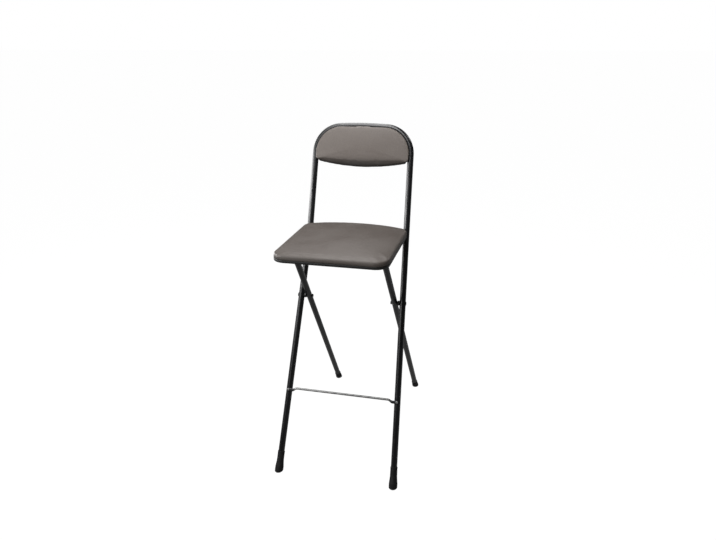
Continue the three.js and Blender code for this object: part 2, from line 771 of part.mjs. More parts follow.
const backCuts = [];
const tabFront = backBoardRear - gap;
const tabRear = tabFront - backTabThickness;
const tubeHalfChord = Math.sqrt(frontTubeRadius ** 2 - tabFront ** 2);
const hoopCornerLevel = hoopCornerRadius + hoopCrownAt(hoopHalfWidth);
const uprightSplay = (kneeHalfWidth - hoopHalfWidth) / (uprightLength + hoopCornerLevel);
const uprightHalfWidthAt = (level) => hoopHalfWidth + uprightSplay * (hoopCornerLevel - level);
const tabStandOff = tubeHalfChord + gap + backTabReach / 2;
const backTabs = [
  {
    row: "lower",
    x: uprightHalfWidthAt(backTabSideLevel) - tabStandOff,
    y: backTabSideLevel,
    size: [backTabReach, backTabWidth],
  },
  {
    row: "upper",
    x: backTabTopOffset,
    y: hoopCornerRadius + hoopCrownAt(backTabTopOffset + backTabWidth / 2) - tabStandOff,
    size: [backTabWidth, backTabReach],
  },
];
for (const [sideName, side] of sides) {
  for (const { row, x, y, size } of backTabs) {
    const tab = new THREE.BoxGeometry(...size, backTabThickness)
      .translate(side * x, y, (tabFront + tabRear) / 2);
    const tabHole = screwHole(side * x, y, tabRear, backTabThickness);
    addPiece(`back_tab_${sideName}_${row}`, cut(tab, [tabHole]), blackPaint, back);
    const backScrew = screw(
      screwShankRadius,
      backTabThickness + 2 * gap + backScrewBite,
      screwHeadRadius,
      screwHeadHeight,
    ).translate(side * x, y, tabRear - gap);
    addPiece(`back_screw_${sideName}_${row}`, backScrew, zinc, back);
    backCuts.push(rod(screwShankRadius + gap, backScrewBite + gap + overrun, screwSides)
      .translate(side * x, y, backBoardRear - overrun));
  }
}
const backBoard = plate(inset(backOutline, gap), backBoardThickness).translate(0, 0, backBoardRear);
addPiece("back_board", cut(backBoard, backCuts), plywood, back);

// The pad's side follows round the tube, laps over the tube's front and rolls in to the shoulder
const backPadRear = backBoardRear + backBoardThickness + gap;
const wrapRadius = frontTubeRadius + backFit;
const backLap = backLapDegrees * degrees;
const rollCentre = new THREE.Vector2(Math.cos(backLap), Math.sin(backLap))
  .multiplyScalar(wrapRadius + backRoll);
const backEdge = [
  ...arcPoints(0, 0, wrapRadius, Math.asin(backPadRear / wrapRadius), backLap, lapSteps),
  ...arcPoints(rollCentre.x, rollCentre.y, backRoll, backLap + Math.PI, Math.PI / 2, rollSteps).slice(1),
].map((point) => [point.x - wrapRadius, point.y]);
addPiece("back_cushion", pad(backOutline, backEdge, backCrown), vinyl, back);

// The origin lies on the floor under the middle of the stool's own depth
stool.updateMatrixWorld(true);
const extent = new THREE.Box3().setFromObject(standing, true);
standing.position.y = -(extent.min.y + extent.max.y) / 2;
stool.updateMatrixWorld(true);

export default stool;
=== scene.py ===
import math
import bmesh
import bpy
from mathutils import Matrix, Vector


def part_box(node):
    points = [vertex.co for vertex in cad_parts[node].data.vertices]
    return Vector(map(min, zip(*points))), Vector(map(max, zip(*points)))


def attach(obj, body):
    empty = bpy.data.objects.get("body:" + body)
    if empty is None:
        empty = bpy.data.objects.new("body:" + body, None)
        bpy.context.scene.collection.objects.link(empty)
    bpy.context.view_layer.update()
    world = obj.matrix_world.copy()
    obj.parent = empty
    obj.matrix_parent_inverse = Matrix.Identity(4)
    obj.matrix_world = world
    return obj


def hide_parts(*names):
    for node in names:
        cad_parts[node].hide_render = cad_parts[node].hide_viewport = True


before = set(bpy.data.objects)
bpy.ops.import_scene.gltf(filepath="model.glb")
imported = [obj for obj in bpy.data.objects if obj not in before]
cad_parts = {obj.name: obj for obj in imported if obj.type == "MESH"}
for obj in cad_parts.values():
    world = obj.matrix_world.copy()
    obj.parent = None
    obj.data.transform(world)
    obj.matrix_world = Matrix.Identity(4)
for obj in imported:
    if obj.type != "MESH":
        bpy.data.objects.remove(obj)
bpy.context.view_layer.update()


# Studio
# A white floor that runs out past the picture. Three soft boxes in front and a dull one behind light the
# stool. The boxes and strips on the left, the two panels overhead and the small lamp on the right only draw
# the light lines on its tubes.
mm = 0.001
degree = math.pi / 180

picture_width, picture_height = 716, 540
focal_pixels = 625.8
picture_middle_x, picture_middle_y = 376.85, 255.44
sensor_width = 36
camera_place = Vector((503.2, -1873.45, 1356.7)) * mm
camera_yaw, camera_pitch, camera_roll = -12.93 * degree, -19.96 * degree, -0.35 * degree

floor_reach = 40
floor_drop = 0.2 * mm
floor_colour = (0.1, 0.1, 0.1, 1)
floor_glow, floor_shine = 0.985, 0.24
backdrop_white = (1, 1, 1, 1)
room_light = 0.06

stool_middle, hoop_top, panel_middle = (0, 0, 0.9), (0, 0.15, 1.06), (0, 0.1, 1)
shoulder, upright_middle = (0.12, 0.14, 1.03), (0, 0.06, 0.85)
# Each lamp has its name, its place, the place it faces, its width and height, and its watts.
soft_boxes = [
    ("front_box_right", (0, -1.2, 2.25), stool_middle, (0.8, 0.8), 12),
    ("front_box_left", (-0.75, -0.95, 2.25), stool_middle, (0.8, 0.8), 12.5),
    ("top_box_front", (-0.1, -0.25, 1.9), panel_middle, (0.7, 0.4), 6.5),
]
back_box = ("back_box", (0.6, 1.7, 1.1), stool_middle, (1, 1), 12)
shine_boxes = [
    ("left_box_front", (-1.0, -1.37, 1.05), stool_middle, (0.8, 0.8), 4),
    ("left_box_near", (-1.2, -0.2, 1.05), stool_middle, (0.8, 0.4), 5),
    ("left_box_middle", (-1.61, -0.52, 1.05), stool_middle, (0.8, 0.8), 5),
    ("left_box_back", (-1.61, 0.52, 1.05), stool_middle, (0.8, 0.8), 8),
    ("left_strip", (-1.05, 0.1, 0.86), upright_middle, (0.9, 0.22), 3.8),
    ("front_left_strip", (-0.84, -0.7, 1.13), upright_middle, (0.6, 0.22), 5),
    ("rear_panel", (-0.65, 0.38, 2.2), stool_middle, (0.8, 0.8), 6),
    ("top_panel", (-0.1, 0.35, 1.6), hoop_top, (0.4, 0.8), 6),
    ("glint_lamp", (0.8, 0.7, 1.7), shoulder, (0.3, 0.3), 3),
]


def add_node(tree, kind, settings=None, **values):
    """A node whose inputs are set by name: a socket is linked, anything else is its value."""
    made = tree.nodes.new(kind)
    for key, value in (settings or {}).items():
        setattr(made, key, value)
    for key, value in values.items():
        socket = made.inputs[key.replace("_", " ")]
        if isinstance(value, bpy.types.NodeSocket):
            tree.links.new(value, socket)
        else:
            socket.default_value = value
    return made


def spread(tree, value, low, high, to_low=0.0, to_high=1.0):
    """Maps a span of a value onto another span, with both ends held."""
    made = add_node(tree, "ShaderNodeMapRange", {"interpolation_type": "SMOOTHSTEP"},
                    Value=value, From_Min=low, From_Max=high, To_Min=to_low, To_Max=to_high)
    return made.outputs[0]


def link_object(name, data):
    made = bpy.data.objects.new(name, data)
    bpy.context.scene.collection.objects.link(made)
    return made


def soft_light(name, place, target, size, watts):
    lamp = bpy.data.lights.new(name, "AREA")
    lamp.shape = "RECTANGLE"
    lamp.size, lamp.size_y = size
    lamp.energy = watts
    made = link_object(name, lamp)
    made.location = place
    made.rotation_euler = (Vector(target) - Vector(place)).to_track_quat("-Z", "Y").to_euler()
    made.visible_camera = False
    return made


def aim_camera():
    """Stands the camera where the stool lines up with the picture it is built from."""
    forward = Vector((
        math.sin(camera_yaw) * math.cos(camera_pitch),
        math.cos(camera_yaw) * math.cos(camera_pitch),
        math.sin(camera_pitch),
    ))
    level = Vector((math.cos(camera_yaw), -math.sin(camera_yaw), 0))
    upward = level.cross(forward)
    right = level * math.cos(camera_roll) + upward * math.sin(camera_roll)
    up = upward * math.cos(camera_roll) - level * math.sin(camera_roll)
    lens = bpy.data.cameras.new("camera")
    lens.sensor_width = sensor_width
    lens.lens = focal_pixels * sensor_width / picture_width
    lens.shift_x = (picture_width / 2 - picture_middle_x) / picture_width
    lens.shift_y = (picture_middle_y - picture_height / 2) / picture_width
    made = link_object("camera", lens)
    turn = Matrix((right, up, -forward)).transposed().to_4x4()
    made.matrix_world = Matrix.Translation(camera_place) @ turn
    bpy.context.scene.camera = made


def lay_floor():
    """The floor glows white to the camera and dimly in the tubes' reflections, and lights nothing."""
    mesh = bpy.data.meshes.new("floor")
    corners = []
    for x, y in ((-1, -1), (1, -1), (1, 1), (-1, 1)):
        corners.append((x * floor_reach, y * floor_reach, -floor_drop))
    mesh.from_pydata(corners, [], [(0, 1, 2, 3)])
    made = link_object("floor", mesh)
    paint = bpy.data.materials.new("floor_paint")
    paint.use_nodes = True
    shader = paint.node_tree.nodes["Principled BSDF"]
    shader.inputs["Base Color"].default_value = floor_colour
    shader.inputs["Roughness"].default_value = 1
    shader.inputs["Specular IOR Level"].default_value = 0
    shader.inputs["Emission Color"].default_value = backdrop_white
    tree = paint.node_tree
    seen = add_node(tree, "ShaderNodeLightPath").outputs["Is Camera Ray"]
    glow = spread(tree, seen, 0, 1, floor_shine, floor_glow)
    tree.links.new(glow, shader.inputs["Emission Strength"])
    mesh.materials.append(paint)
    made.visible_diffuse = False


def light_room():
    """A little light from all round; the camera itself sees plain white behind the floor."""
    sky = bpy.data.worlds.new("room")
    bpy.context.scene.world = sky
    sky.use_nodes = True
    tree = sky.node_tree
    tree.nodes.clear()
    room = add_node(tree, "ShaderNodeBackground", Color=backdrop_white, Strength=room_light)
    backdrop = add_node(tree, "ShaderNodeBackground", Color=backdrop_white, Strength=1)
    seen = add_node(tree, "ShaderNodeLightPath").outputs["Is Camera Ray"]
    chosen = add_node(tree, "ShaderNodeMixShader", Fac=seen)
    tree.links.new(room.outputs[0], chosen.inputs[1])
    tree.links.new(backdrop.outputs[0], chosen.inputs[2])
    add_node(tree, "ShaderNodeOutputWorld", Surface=chosen.outputs[0])


aim_camera()
lay_floor()
light_room()
for box in soft_boxes:
    soft_light(*box)
soft_light(*back_box).visible_glossy = False
for box in shine_boxes:
    soft_light(*box).visible_diffuse = False
bpy.context.scene.view_settings.view_transform = "Standard"


# Front frame
# One 20 mm steel tube is bent into both front legs, both uprights and the hoop round the back.
# It is coated in semi-gloss black, with a little haze and dust where hands and air reach it.
LEFT, RIGHT = -1, 1
# The front feet stand on the front line, and the places behind it are measured from it.
front_line = -303.046 * mm
tube_radius, tube_wall = 10 * mm, 1.2 * mm
front_foot_x = 190 * mm
knee_place = Vector((164, 335, 716.4)) * mm
knee_bend = 120 * mm
upright_lean = 18.8 * degree
upright_length = 267 * mm
hoop_x, hoop_corner, hoop_crown, hoop_crown_bend = 159.5 * mm, 88 * mm, 2.6 * mm, 900 * mm
front_tube_lift = 9 * mm
tube_sides = 40
arc_step = 4 * degree
longest_run = 60 * mm
near_parallel = 0.99

coating_black, coating_rubbed = (0.0075, 0.0078, 0.0088, 1), (0.05, 0.05, 0.052, 1)
coating_dust = (0.3, 0.29, 0.27, 1)
coating_shine, coating_gloss = 0.5, (0.27, 0.36)
coating_rub_share = 0.12
coating_haze_scale, coating_scuff_scale = 9, 70
coating_dust_scale, coating_dust_amount = 60, 0.05
coating_peel_scale, coating_peel_depth = 700, 0.03 * mm
cloud_detail, grain_detail = 3, 2
relief_strength = 0.6

upright_way = Vector((0, math.sin(upright_lean), math.cos(upright_lean)))
hoop_base = Vector((0, knee_place.y + front_line, knee_place.z)) + upright_way * upright_length
hoop_flat = hoop_x - hoop_corner
corner_level = hoop_corner + hoop_crown * (1 - hoop_x / hoop_flat)


def front_foot_at(side):
    return Vector((side * front_foot_x, front_line, 0))


def knee_at(side):
    return Vector((side * knee_place.x, knee_place.y + front_line, knee_place.z))


def hoop_corner_at(side):
    return hoop_base + upright_way * corner_level + Vector((side * hoop_x, 0, 0))


def raised(low, high, lift):
    """Where a tube ends inside its foot: its floor point, lifted along the leg."""
    return low + (high - low).normalized() * lift


def bent_route(corners):
    """Points along straight runs joined by arcs; corners are (place, bend radius)."""
    route = [corners[0][0]]
    for (before, _), (here, radius), (after, _) in zip(corners, corners[1:], corners[2:]):
        inward, onward = (before - here).normalized(), (after - here).normalized()
        half = inward.angle(onward) / 2
        centre = here + (inward + onward).normalized() * (radius / math.sin(half))
        start = here + inward * (radius / math.tan(half)) - centre
        end = here + onward * (radius / math.tan(half)) - centre
        swing = start.angle(end)
        count = max(2, math.ceil(swing / arc_step))
        for i in range(count + 1):
            ahead = i / count * swing
            spoke = start * math.sin(swing - ahead) + end * math.sin(ahead)
            route.append(centre + spoke / math.sin(swing))
    route.append(corners[-1][0])
    return spaced(route)


def spaced(route):
    """The same route with extra points along its long straight runs."""
    points = [route[0]]
    for start, end in zip(route, route[1:]):
        count = max(1, math.ceil((end - start).length / longest_run))
        points += [start.lerp(end, (i + 1) / count) for i in range(count)]
    return points


def ring(place, across, upward, half_across, half_up, count):
    """Points round an ellipse about a place, between two directions square to each other."""
    turns = [2 * math.pi * i / count for i in range(count)]
    return [place + across * (half_across * math.cos(t)) + upward * (half_up * math.sin(t)) for t in turns]


def rings_along(route, radius, count):
    """Round rings along a route, each square to it and carried on from the last without a twist."""
    rows = []
    across = Vector((1, 0, 0))
    for i, place in enumerate(route):
        back, ahead = route[max(i - 1, 0)], route[min(i + 1, len(route) - 1)]
        heading = ((place - back).normalized() + (ahead - place).normalized()).normalized()
        if abs(across.dot(heading)) > near_parallel:
            across = Vector((0, 1, 0))
        across = (across - heading * across.dot(heading)).normalized()
        rows.append(ring(place, across, heading.cross(across), radius, radius, count))
    return rows


def skin(shape, rows, looped=False, capped=False):
    """Quads between rings of equal count; looped joins last to first, capped closes both ends."""
    made = [[shape.verts.new(point) for point in row] for row in rows]
    for low, high in zip(made, made[1:] + made[:1] if looped else made[1:]):
        for i in range(len(low)):
            j = (i + 1) % len(low)
            shape.faces.new((low[i], low[j], high[j], high[i]))
    if capped:
        shape.faces.new(made[0][::-1])
        shape.faces.new(made[-1])
    return made


def tube_shape(route, radius, wall):
    shape = bmesh.new()
    outer = rings_along(route, radius, tube_sides)
    inner = rings_along(route, radius - wall, tube_sides)
    skin(shape, outer + inner[::-1], looped=True)
    return shape


def to_object(name, shape):
    bmesh.ops.recalc_face_normals(shape, faces=shape.faces)
    mesh = bpy.data.meshes.new(name)
    shape.to_mesh(mesh)
    shape.free()
    return link_object(name, mesh)


def new_group(name, inputs, outputs):
    """An empty node group with float inputs and outputs; returns its tree and its two ends."""
    tree = bpy.data.node_groups.new(name, "ShaderNodeTree")
    for label in inputs:
        tree.interface.new_socket(label, in_out="INPUT", socket_type="NodeSocketFloat")
    for label in outputs:
        tree.interface.new_socket(label, in_out="OUTPUT", socket_type="NodeSocketFloat")
    return tree, tree.nodes.new("NodeGroupInput"), tree.nodes.new("NodeGroupOutput")


def object_place(tree):
    return add_node(tree, "ShaderNodeTexCoord").outputs["Object"]


def cloud(tree, scale, detail=cloud_detail, stretch=(1, 1, 1)):
    """Noise over the piece's own coordinates, in cycles per metre."""
    place = add_node(tree, "ShaderNodeMapping", Vector=object_place(tree), Scale=stretch).outputs[0]
    return add_node(tree, "ShaderNodeTexNoise", Vector=place, Scale=scale, Detail=detail).outputs[0]


def math_node(tree, operation, first, second=0.0):
    """One Math node; each value is a socket or a number."""
    made = tree.nodes.new("ShaderNodeMath")
    made.operation = operation
    for socket, value in zip(made.inputs, (first, second)):
        if isinstance(value, bpy.types.NodeSocket):
            tree.links.new(value, socket)
        else:
            socket.default_value = value
    return made.outputs[0]


def blend_colour(tree, share, first, second):
    return add_node(tree, "ShaderNodeMixRGB", Fac=share, Color1=first, Color2=second).outputs[0]


def new_material(name, **constants):
    """A Principled material; returns it with its node tree and shader."""
    made = bpy.data.materials.new(name)
    made.use_nodes = True
    shader = made.node_tree.nodes["Principled BSDF"]
    for key, value in constants.items():
        shader.inputs[key.replace("_", " ")].default_value = value
    return made, made.node_tree, shader


def relief(tree, shader, height, depth, strength=relief_strength):
    bump = add_node(tree, "ShaderNodeBump", Height=height, Distance=depth, Strength=strength)
    tree.links.new(bump.outputs[0], shader.inputs["Normal"])


def handling_group():
    """Haze from handling and thin scuffs along the tube, as masks from 0 to 1."""
    haze_span, haze_detail = (0.35, 0.68), 4
    scuff_span, scuff_detail, scuff_stretch = (0.64, 0.74), 6, (1, 1, 0.18)
    tree, given, result = new_group("handling_marks", ["Haze Scale", "Scuff Scale"], ["Haze", "Scuffs"])
    place = object_place(tree)
    haze = add_node(tree, "ShaderNodeTexNoise", Vector=place, Scale=given.outputs["Haze Scale"],
                    Detail=haze_detail)
    tree.links.new(spread(tree, haze.outputs[0], *haze_span), result.inputs["Haze"])
    drawn = add_node(tree, "ShaderNodeMapping", Vector=place, Scale=scuff_stretch).outputs[0]
    scuff = add_node(tree, "ShaderNodeTexNoise", Vector=drawn, Scale=given.outputs["Scuff Scale"],
                     Detail=scuff_detail)
    tree.links.new(spread(tree, scuff.outputs[0], *scuff_span), result.inputs["Scuffs"])
    return tree


def dust_group():
    """Dust on the faces that look along the piece's own +Z, which is up on the tubes, feet and seat."""
    facing_span, patch_span, patch_detail = (0.25, 0.95), (0.3, 0.75), 5
    tree, given, result = new_group("settled_dust", ["Patch Scale", "Amount"], ["Dust"])
    coordinates = add_node(tree, "ShaderNodeTexCoord")
    up = add_node(tree, "ShaderNodeSeparateXYZ", Vector=coordinates.outputs["Normal"]).outputs["Z"]
    patch = add_node(tree, "ShaderNodeTexNoise", Vector=coordinates.outputs["Object"],
                     Scale=given.outputs["Patch Scale"], Detail=patch_detail)
    looks_up = spread(tree, up, *facing_span)
    settled = math_node(tree, "MULTIPLY", looks_up, spread(tree, patch.outputs[0], *patch_span))
    tree.links.new(math_node(tree, "MULTIPLY", settled, given.outputs["Amount"]), result.inputs["Dust"])
    return tree


handling_marks = handling_group()
settled_dust = dust_group()


def place_group(tree, group, **values):
    made = tree.nodes.new("ShaderNodeGroup")
    made.node_tree = group
    for key, value in values.items():
        made.inputs[key.replace("_", " ")].default_value = value
    return made


def black_coating():
    """Semi-gloss black with a fine peel; scuffs are rubbed paler and duller."""
    made, tree, shader = new_material("black_coating", Specular_IOR_Level=coating_shine)
    marks = place_group(tree, handling_marks, Haze_Scale=coating_haze_scale,
                        Scuff_Scale=coating_scuff_scale)
    dust = place_group(tree, settled_dust, Patch_Scale=coating_dust_scale, Amount=coating_dust_amount)
    rubbed = math_node(tree, "MULTIPLY", marks.outputs["Scuffs"], coating_rub_share)
    worn = blend_colour(tree, rubbed, coating_black, coating_rubbed)
    dusty = blend_colour(tree, dust.outputs["Dust"], worn, coating_dust)
    tree.links.new(dusty, shader.inputs["Base Color"])
    hazy = spread(tree, marks.outputs["Haze"], 0, 1, *coating_gloss)
    tree.links.new(math_node(tree, "ADD", hazy, rubbed), shader.inputs["Roughness"])
    relief(tree, shader, cloud(tree, coating_peel_scale, grain_detail), coating_peel_depth)
    return made


frame_coating = black_coating()

front_route = bent_route([
    (raised(front_foot_at(LEFT), knee_at(LEFT), front_tube_lift), 0),
    (knee_at(LEFT), knee_bend),
    (hoop_corner_at(LEFT), hoop_corner),
    (hoop_base + upright_way * (hoop_corner + hoop_crown), hoop_crown_bend),
    (hoop_corner_at(RIGHT), hoop_corner),
    (knee_at(RIGHT), knee_bend),
    (raised(front_foot_at(RIGHT), knee_at(RIGHT), front_tube_lift), 0),
])
front_tube = to_object("front_tube", tube_shape(front_route, tube_radius, tube_wall))


# Rear frame
# A 19 mm tube bent into an inverted U stands inside the front frame. Its crossbar carries the seat.
# It has the same black coating.
rear_radius, rear_wall = 9.5 * mm, 1.2 * mm
rear_foot_place = Vector((160.03, 606.5, 0)) * mm
rear_top_place = Vector((138.73, 108, 718.6)) * mm
rear_corner = 45 * mm
rear_tube_lift = 12 * mm


def rear_foot_at(side):
    return Vector((side * rear_foot_place.x, rear_foot_place.y + front_line, 0))


def rear_top_at(side):
    return Vector((side * rear_top_place.x, rear_top_place.y + front_line, rear_top_place.z))


rear_route = bent_route([
    (raised(rear_foot_at(LEFT), rear_top_at(LEFT), rear_tube_lift), 0),
    (rear_top_at(LEFT), rear_corner),
    (rear_top_at(RIGHT), rear_corner),
    (raised(rear_foot_at(RIGHT), rear_top_at(RIGHT), rear_tube_lift), 0),
])
rear_tube = to_object("rear_tube", tube_shape(rear_route, rear_radius, rear_wall))


# Pivots
# Where the legs cross, an 8 mm bolt with a low black head runs from outside through both tubes into a
# locking nut inside. A black plastic bush keeps the tubes apart.
bolt_radius, bolt_bore = 4 * mm, 4.3 * mm
bolt_head_radius, bolt_head_height, bolt_head_rim = 6.5 * mm, 1.5 * mm, 0.5 * mm
bolt_tip_bevel = 0.6 * mm
nut_radius, nut_height, nut_sides = 6.5 * mm, 3.4 * mm, 6
nut_low_bevel, nut_collar_height = 0.4 * mm, 0.8 * mm
nut_collar_shares = (0.8, 0.72)
bush_radius, bush_bevel = 8 * mm, 0.5 * mm
thread_depth = 2.4 * mm
piece_gap = 0.3 * mm
overrun = 4 * mm
turned_sides = 40
cutter_sides = 24
dome_steps = 7
dome_seat_shares = (0.985, 0.15)
shade_angle = 35 * degree

moulding_black, moulding_dust = (0.011, 0.0108, 0.0108, 1), (0.25, 0.24, 0.23, 1)
moulding_shine, moulding_gloss = 0.4, (0.42, 0.56)
moulding_gloss_scale, moulding_gloss_span = 90, (0.3, 0.7)
moulding_dust_scale, moulding_dust_amount = 80, 0.06
moulding_grain_scale, moulding_grain_depth = 2200, 0.04 * mm


def at_height(low, high, height):
    """The point at a height on the line through two places."""
    return low.lerp(high, (height - low.z) / (high.z - low.z))


def rod_shape(start, end, radius, count=cutter_sides):
    shape = bmesh.new()
    skin(shape, rings_along([start, end], radius, count), capped=True)
    return shape


def level_ring(radius, height, count=turned_sides):
    return ring(Vector((0, 0, height)), Vector((1, 0, 0)), Vector((0, 1, 0)), radius, radius, count)


def turned(profile, count=turned_sides):
    """A solid turned round Z from a profile of (radius, height) that starts and ends on the axis."""
    shape = bmesh.new()
    made = skin(shape, [level_ring(radius, height, count) for radius, height in profile if radius > 0])
    for (_, height), row in ((profile[0], made[0]), (profile[-1], made[-1])):
        tip = shape.verts.new((0, 0, height))
        for i in range(count):
            shape.faces.new((row[i], row[(i + 1) % count], tip))
    return shape


def dome(radius, height, rim):
    """Profile of a low domed head below z = 0, from its crown out to its rim and back to the seat."""
    turns = [i / dome_steps * math.pi / 2 for i in range(1, dome_steps + 1)]
    crown = [(radius * math.sin(t), -rim - (height - rim) * math.cos(t)) for t in turns]
    seat_share, edge_share = dome_seat_shares
    return [(0.0, -height)] + crown + [(radius, -edge_share * rim), (seat_share * radius, 0.0)]


def apply_modifiers(piece):
    graph = bpy.context.evaluated_depsgraph_get()
    fresh = bpy.data.meshes.new_from_object(piece.evaluated_get(graph))
    piece.modifiers.clear()
    piece.data = fresh


def carve(piece, shapes, operation="DIFFERENCE"):
    """Cuts closed shapes out of a piece; with INTERSECT it keeps what lies inside them instead."""
    for i, shape in enumerate(shapes):
        cutter = to_object(f"cutter_{i}", shape)
        step = piece.modifiers.new("cut", "BOOLEAN")
        step.operation = operation
        step.solver = "EXACT"
        step.object = cutter
        apply_modifiers(piece)
        bpy.data.objects.remove(cutter)


def dress(piece, body, material, nodes, angle=shade_angle):
    """Material, smooth shading and the piece's place in the frame."""
    mesh = piece.data
    mesh.materials.clear()
    mesh.materials.append(material)
    mesh.shade_smooth()
    mesh.set_sharp_from_angle(angle=angle)
    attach(piece, body)
    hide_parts(*nodes)


def aim(place, direction):
    """Matrix that puts a piece's own origin at a place and its +Z along a direction."""
    turn = Vector((0, 0, 1)).rotation_difference(direction).to_matrix().to_4x4()
    return Matrix.Translation(place) @ turn


def black_moulding():
    """Black plastic with a fine grain, a little uneven in its gloss."""
    made, tree, shader = new_material("black_moulding", Specular_IOR_Level=moulding_shine)
    dust = place_group(tree, settled_dust, Patch_Scale=moulding_dust_scale, Amount=moulding_dust_amount)
    dusty = blend_colour(tree, dust.outputs["Dust"], moulding_black, moulding_dust)
    tree.links.new(dusty, shader.inputs["Base Color"])
    uneven = spread(tree, cloud(tree, moulding_gloss_scale), *moulding_gloss_span, *moulding_gloss)
    tree.links.new(uneven, shader.inputs["Roughness"])
    relief(tree, shader, cloud(tree, moulding_grain_scale, grain_detail), moulding_grain_depth)
    return made


moulding = black_moulding()

front_slope = knee_place.y / knee_place.z
rear_slope = (rear_foot_place.y - rear_top_place.y) / rear_top_place.z
pivot_height = rear_foot_place.y / (front_slope + rear_slope)
outer_x = at_height(front_foot_at(RIGHT), knee_at(RIGHT), pivot_height).x
inner_x = at_height(rear_foot_at(RIGHT), rear_top_at(RIGHT), pivot_height).x
head_seat_x = outer_x + tube_radius + piece_gap
nut_seat_x = inner_x - rear_radius - piece_gap
bolt_length = head_seat_x - nut_seat_x + thread_depth
bush_length = outer_x - inner_x - tube_radius - rear_radius - 2 * piece_gap
sides = {"left": LEFT, "right": RIGHT}
front_holes, rear_holes = [], []

bolt_profile = dome(bolt_head_radius, bolt_head_height, bolt_head_rim) + [
    (bolt_radius, 0.0),
    (bolt_radius, bolt_length - bolt_tip_bevel),
    (bolt_radius - bolt_tip_bevel, bolt_length),
    (0.0, bolt_length),
]
bush_rows = [
    (bush_radius - bush_bevel, 0),
    (bush_radius, bush_bevel),
    (bush_radius, bush_length - bush_bevel),
    (bush_radius - bush_bevel, bush_length),
    (bolt_bore, bush_length),
    (bolt_bore, 0),
]
nut_profile = [
    (0.0, 0.0),
    (nut_radius - nut_low_bevel, 0.0),
    (nut_radius, nut_low_bevel),
    (nut_radius, nut_height - 2 * nut_collar_height),
    (nut_radius * nut_collar_shares[0], nut_height - nut_collar_height),
    (nut_radius * nut_collar_shares[1], nut_height),
    (0.0, nut_height),
]

for side_name, side in sides.items():
    inward = Vector((-side, 0, 0))
    axis_point = at_height(front_foot_at(side), knee_at(side), pivot_height)
    head_seat = Vector((side * head_seat_x, axis_point.y, pivot_height))
    nut_seat = Vector((side * nut_seat_x, axis_point.y, pivot_height))
    bore_start = head_seat - inward * overrun
    bore_end = nut_seat + inward * (thread_depth + overrun)
    for holes in (front_holes, rear_holes):
        holes.append(rod_shape(bore_start, bore_end, bolt_bore))

    bolt = to_object(f"pivot_bolt_domed_{side_name}", turned(bolt_profile))
    bolt.matrix_world = aim(head_seat, inward)
    dress(bolt, "front", frame_coating, [f"pivot_bolt_{side_name}"])

    bush_shape = bmesh.new()
    skin(bush_shape, [level_ring(radius, height) for radius, height in bush_rows], looped=True)
    bush = to_object(f"pivot_spacer_{side_name}", bush_shape)
    bush_seat = Vector((side * (outer_x - tube_radius - piece_gap), axis_point.y, pivot_height))
    bush.matrix_world = aim(bush_seat, inward)
    dress(bush, "front", moulding, [f"pivot_bush_{side_name}"])

    nut_shape = bmesh.new()
    skin(nut_shape, [level_ring(nut_radius, height, nut_sides) for height in (0, nut_height)], capped=True)
    nut = to_object(f"pivot_locknut_{side_name}", nut_shape)
    carve(nut, [turned(nut_profile)], "INTERSECT")
    carve(nut, [rod_shape(Vector((0, 0, -overrun)), Vector((0, 0, thread_depth + piece_gap)), bolt_bore)])
    nut.matrix_world = aim(nut_seat, inward)
    dress(nut, "front", frame_coating, [f"pivot_nut_{side_name}"])

carve(rear_tube, rear_holes)
dress(rear_tube, "rear", frame_coating, ["rear_frame"])


# Feet
# A black rubber ferrule is pushed over each tube end. It flares towards the floor, has a rolled lip
# and shallow grip rings, and its sole is flat on the floor although the leg leans.
front_cap = {"radius": 13.6 * mm, "top": 11.3 * mm, "band": 12 * mm, "neck": 36 * mm, "length": 62 * mm}
rear_cap = {"radius": 12 * mm, "top": 10.9 * mm, "band": 12 * mm, "neck": 26 * mm, "length": 36 * mm}
flare_power = 1.3
lip_height, lip_roll = 3.2 * mm, 0.35 * mm
grip_pitch, grip_depth, grip_half_width, grip_count = 4 * mm, 0.3 * mm, 0.9 * mm, 2
sole_bevel, sole_bevel_steps = 1.1 * mm, 3
bevel_fullness = 0.6
ferrule_row, ferrule_sides = 0.75 * mm, 48
soft_shade = 50 * degree

rubber_black, rubber_scuffed = (0.0085, 0.0085, 0.009, 1), (0.045, 0.044, 0.042, 1)
rubber_dust = (0.2, 0.19, 0.18, 1)
rubber_shine, rubber_gloss = 0.3, (0.6, 0.78)
rubber_haze_scale, rubber_scuff_scale, rubber_scuff_share = 80, 220, 0.3
rubber_dust_scale, rubber_dust_amount = 150, 0.12
rubber_grain_scale, rubber_grain_depth = 1800, 0.08 * mm


def black_rubber():
    """Dull rubber, scuffed and dusty, with a fine grain."""
    made, tree, shader = new_material("black_rubber", Specular_IOR_Level=rubber_shine)
    dust = place_group(tree, settled_dust, Patch_Scale=rubber_dust_scale, Amount=rubber_dust_amount)
    marks = place_group(tree, handling_marks, Haze_Scale=rubber_haze_scale,
                        Scuff_Scale=rubber_scuff_scale)
    scuffs = math_node(tree, "MULTIPLY", marks.outputs["Scuffs"], rubber_scuff_share)
    scuffed = blend_colour(tree, scuffs, rubber_black, rubber_scuffed)
    dusty = blend_colour(tree, dust.outputs["Dust"], scuffed, rubber_dust)
    tree.links.new(dusty, shader.inputs["Base Color"])
    tree.links.new(spread(tree, marks.outputs["Haze"], 0, 1, *rubber_gloss), shader.inputs["Roughness"])
    relief(tree, shader, cloud(tree, rubber_grain_scale), rubber_grain_depth)
    return made


rubber = black_rubber()


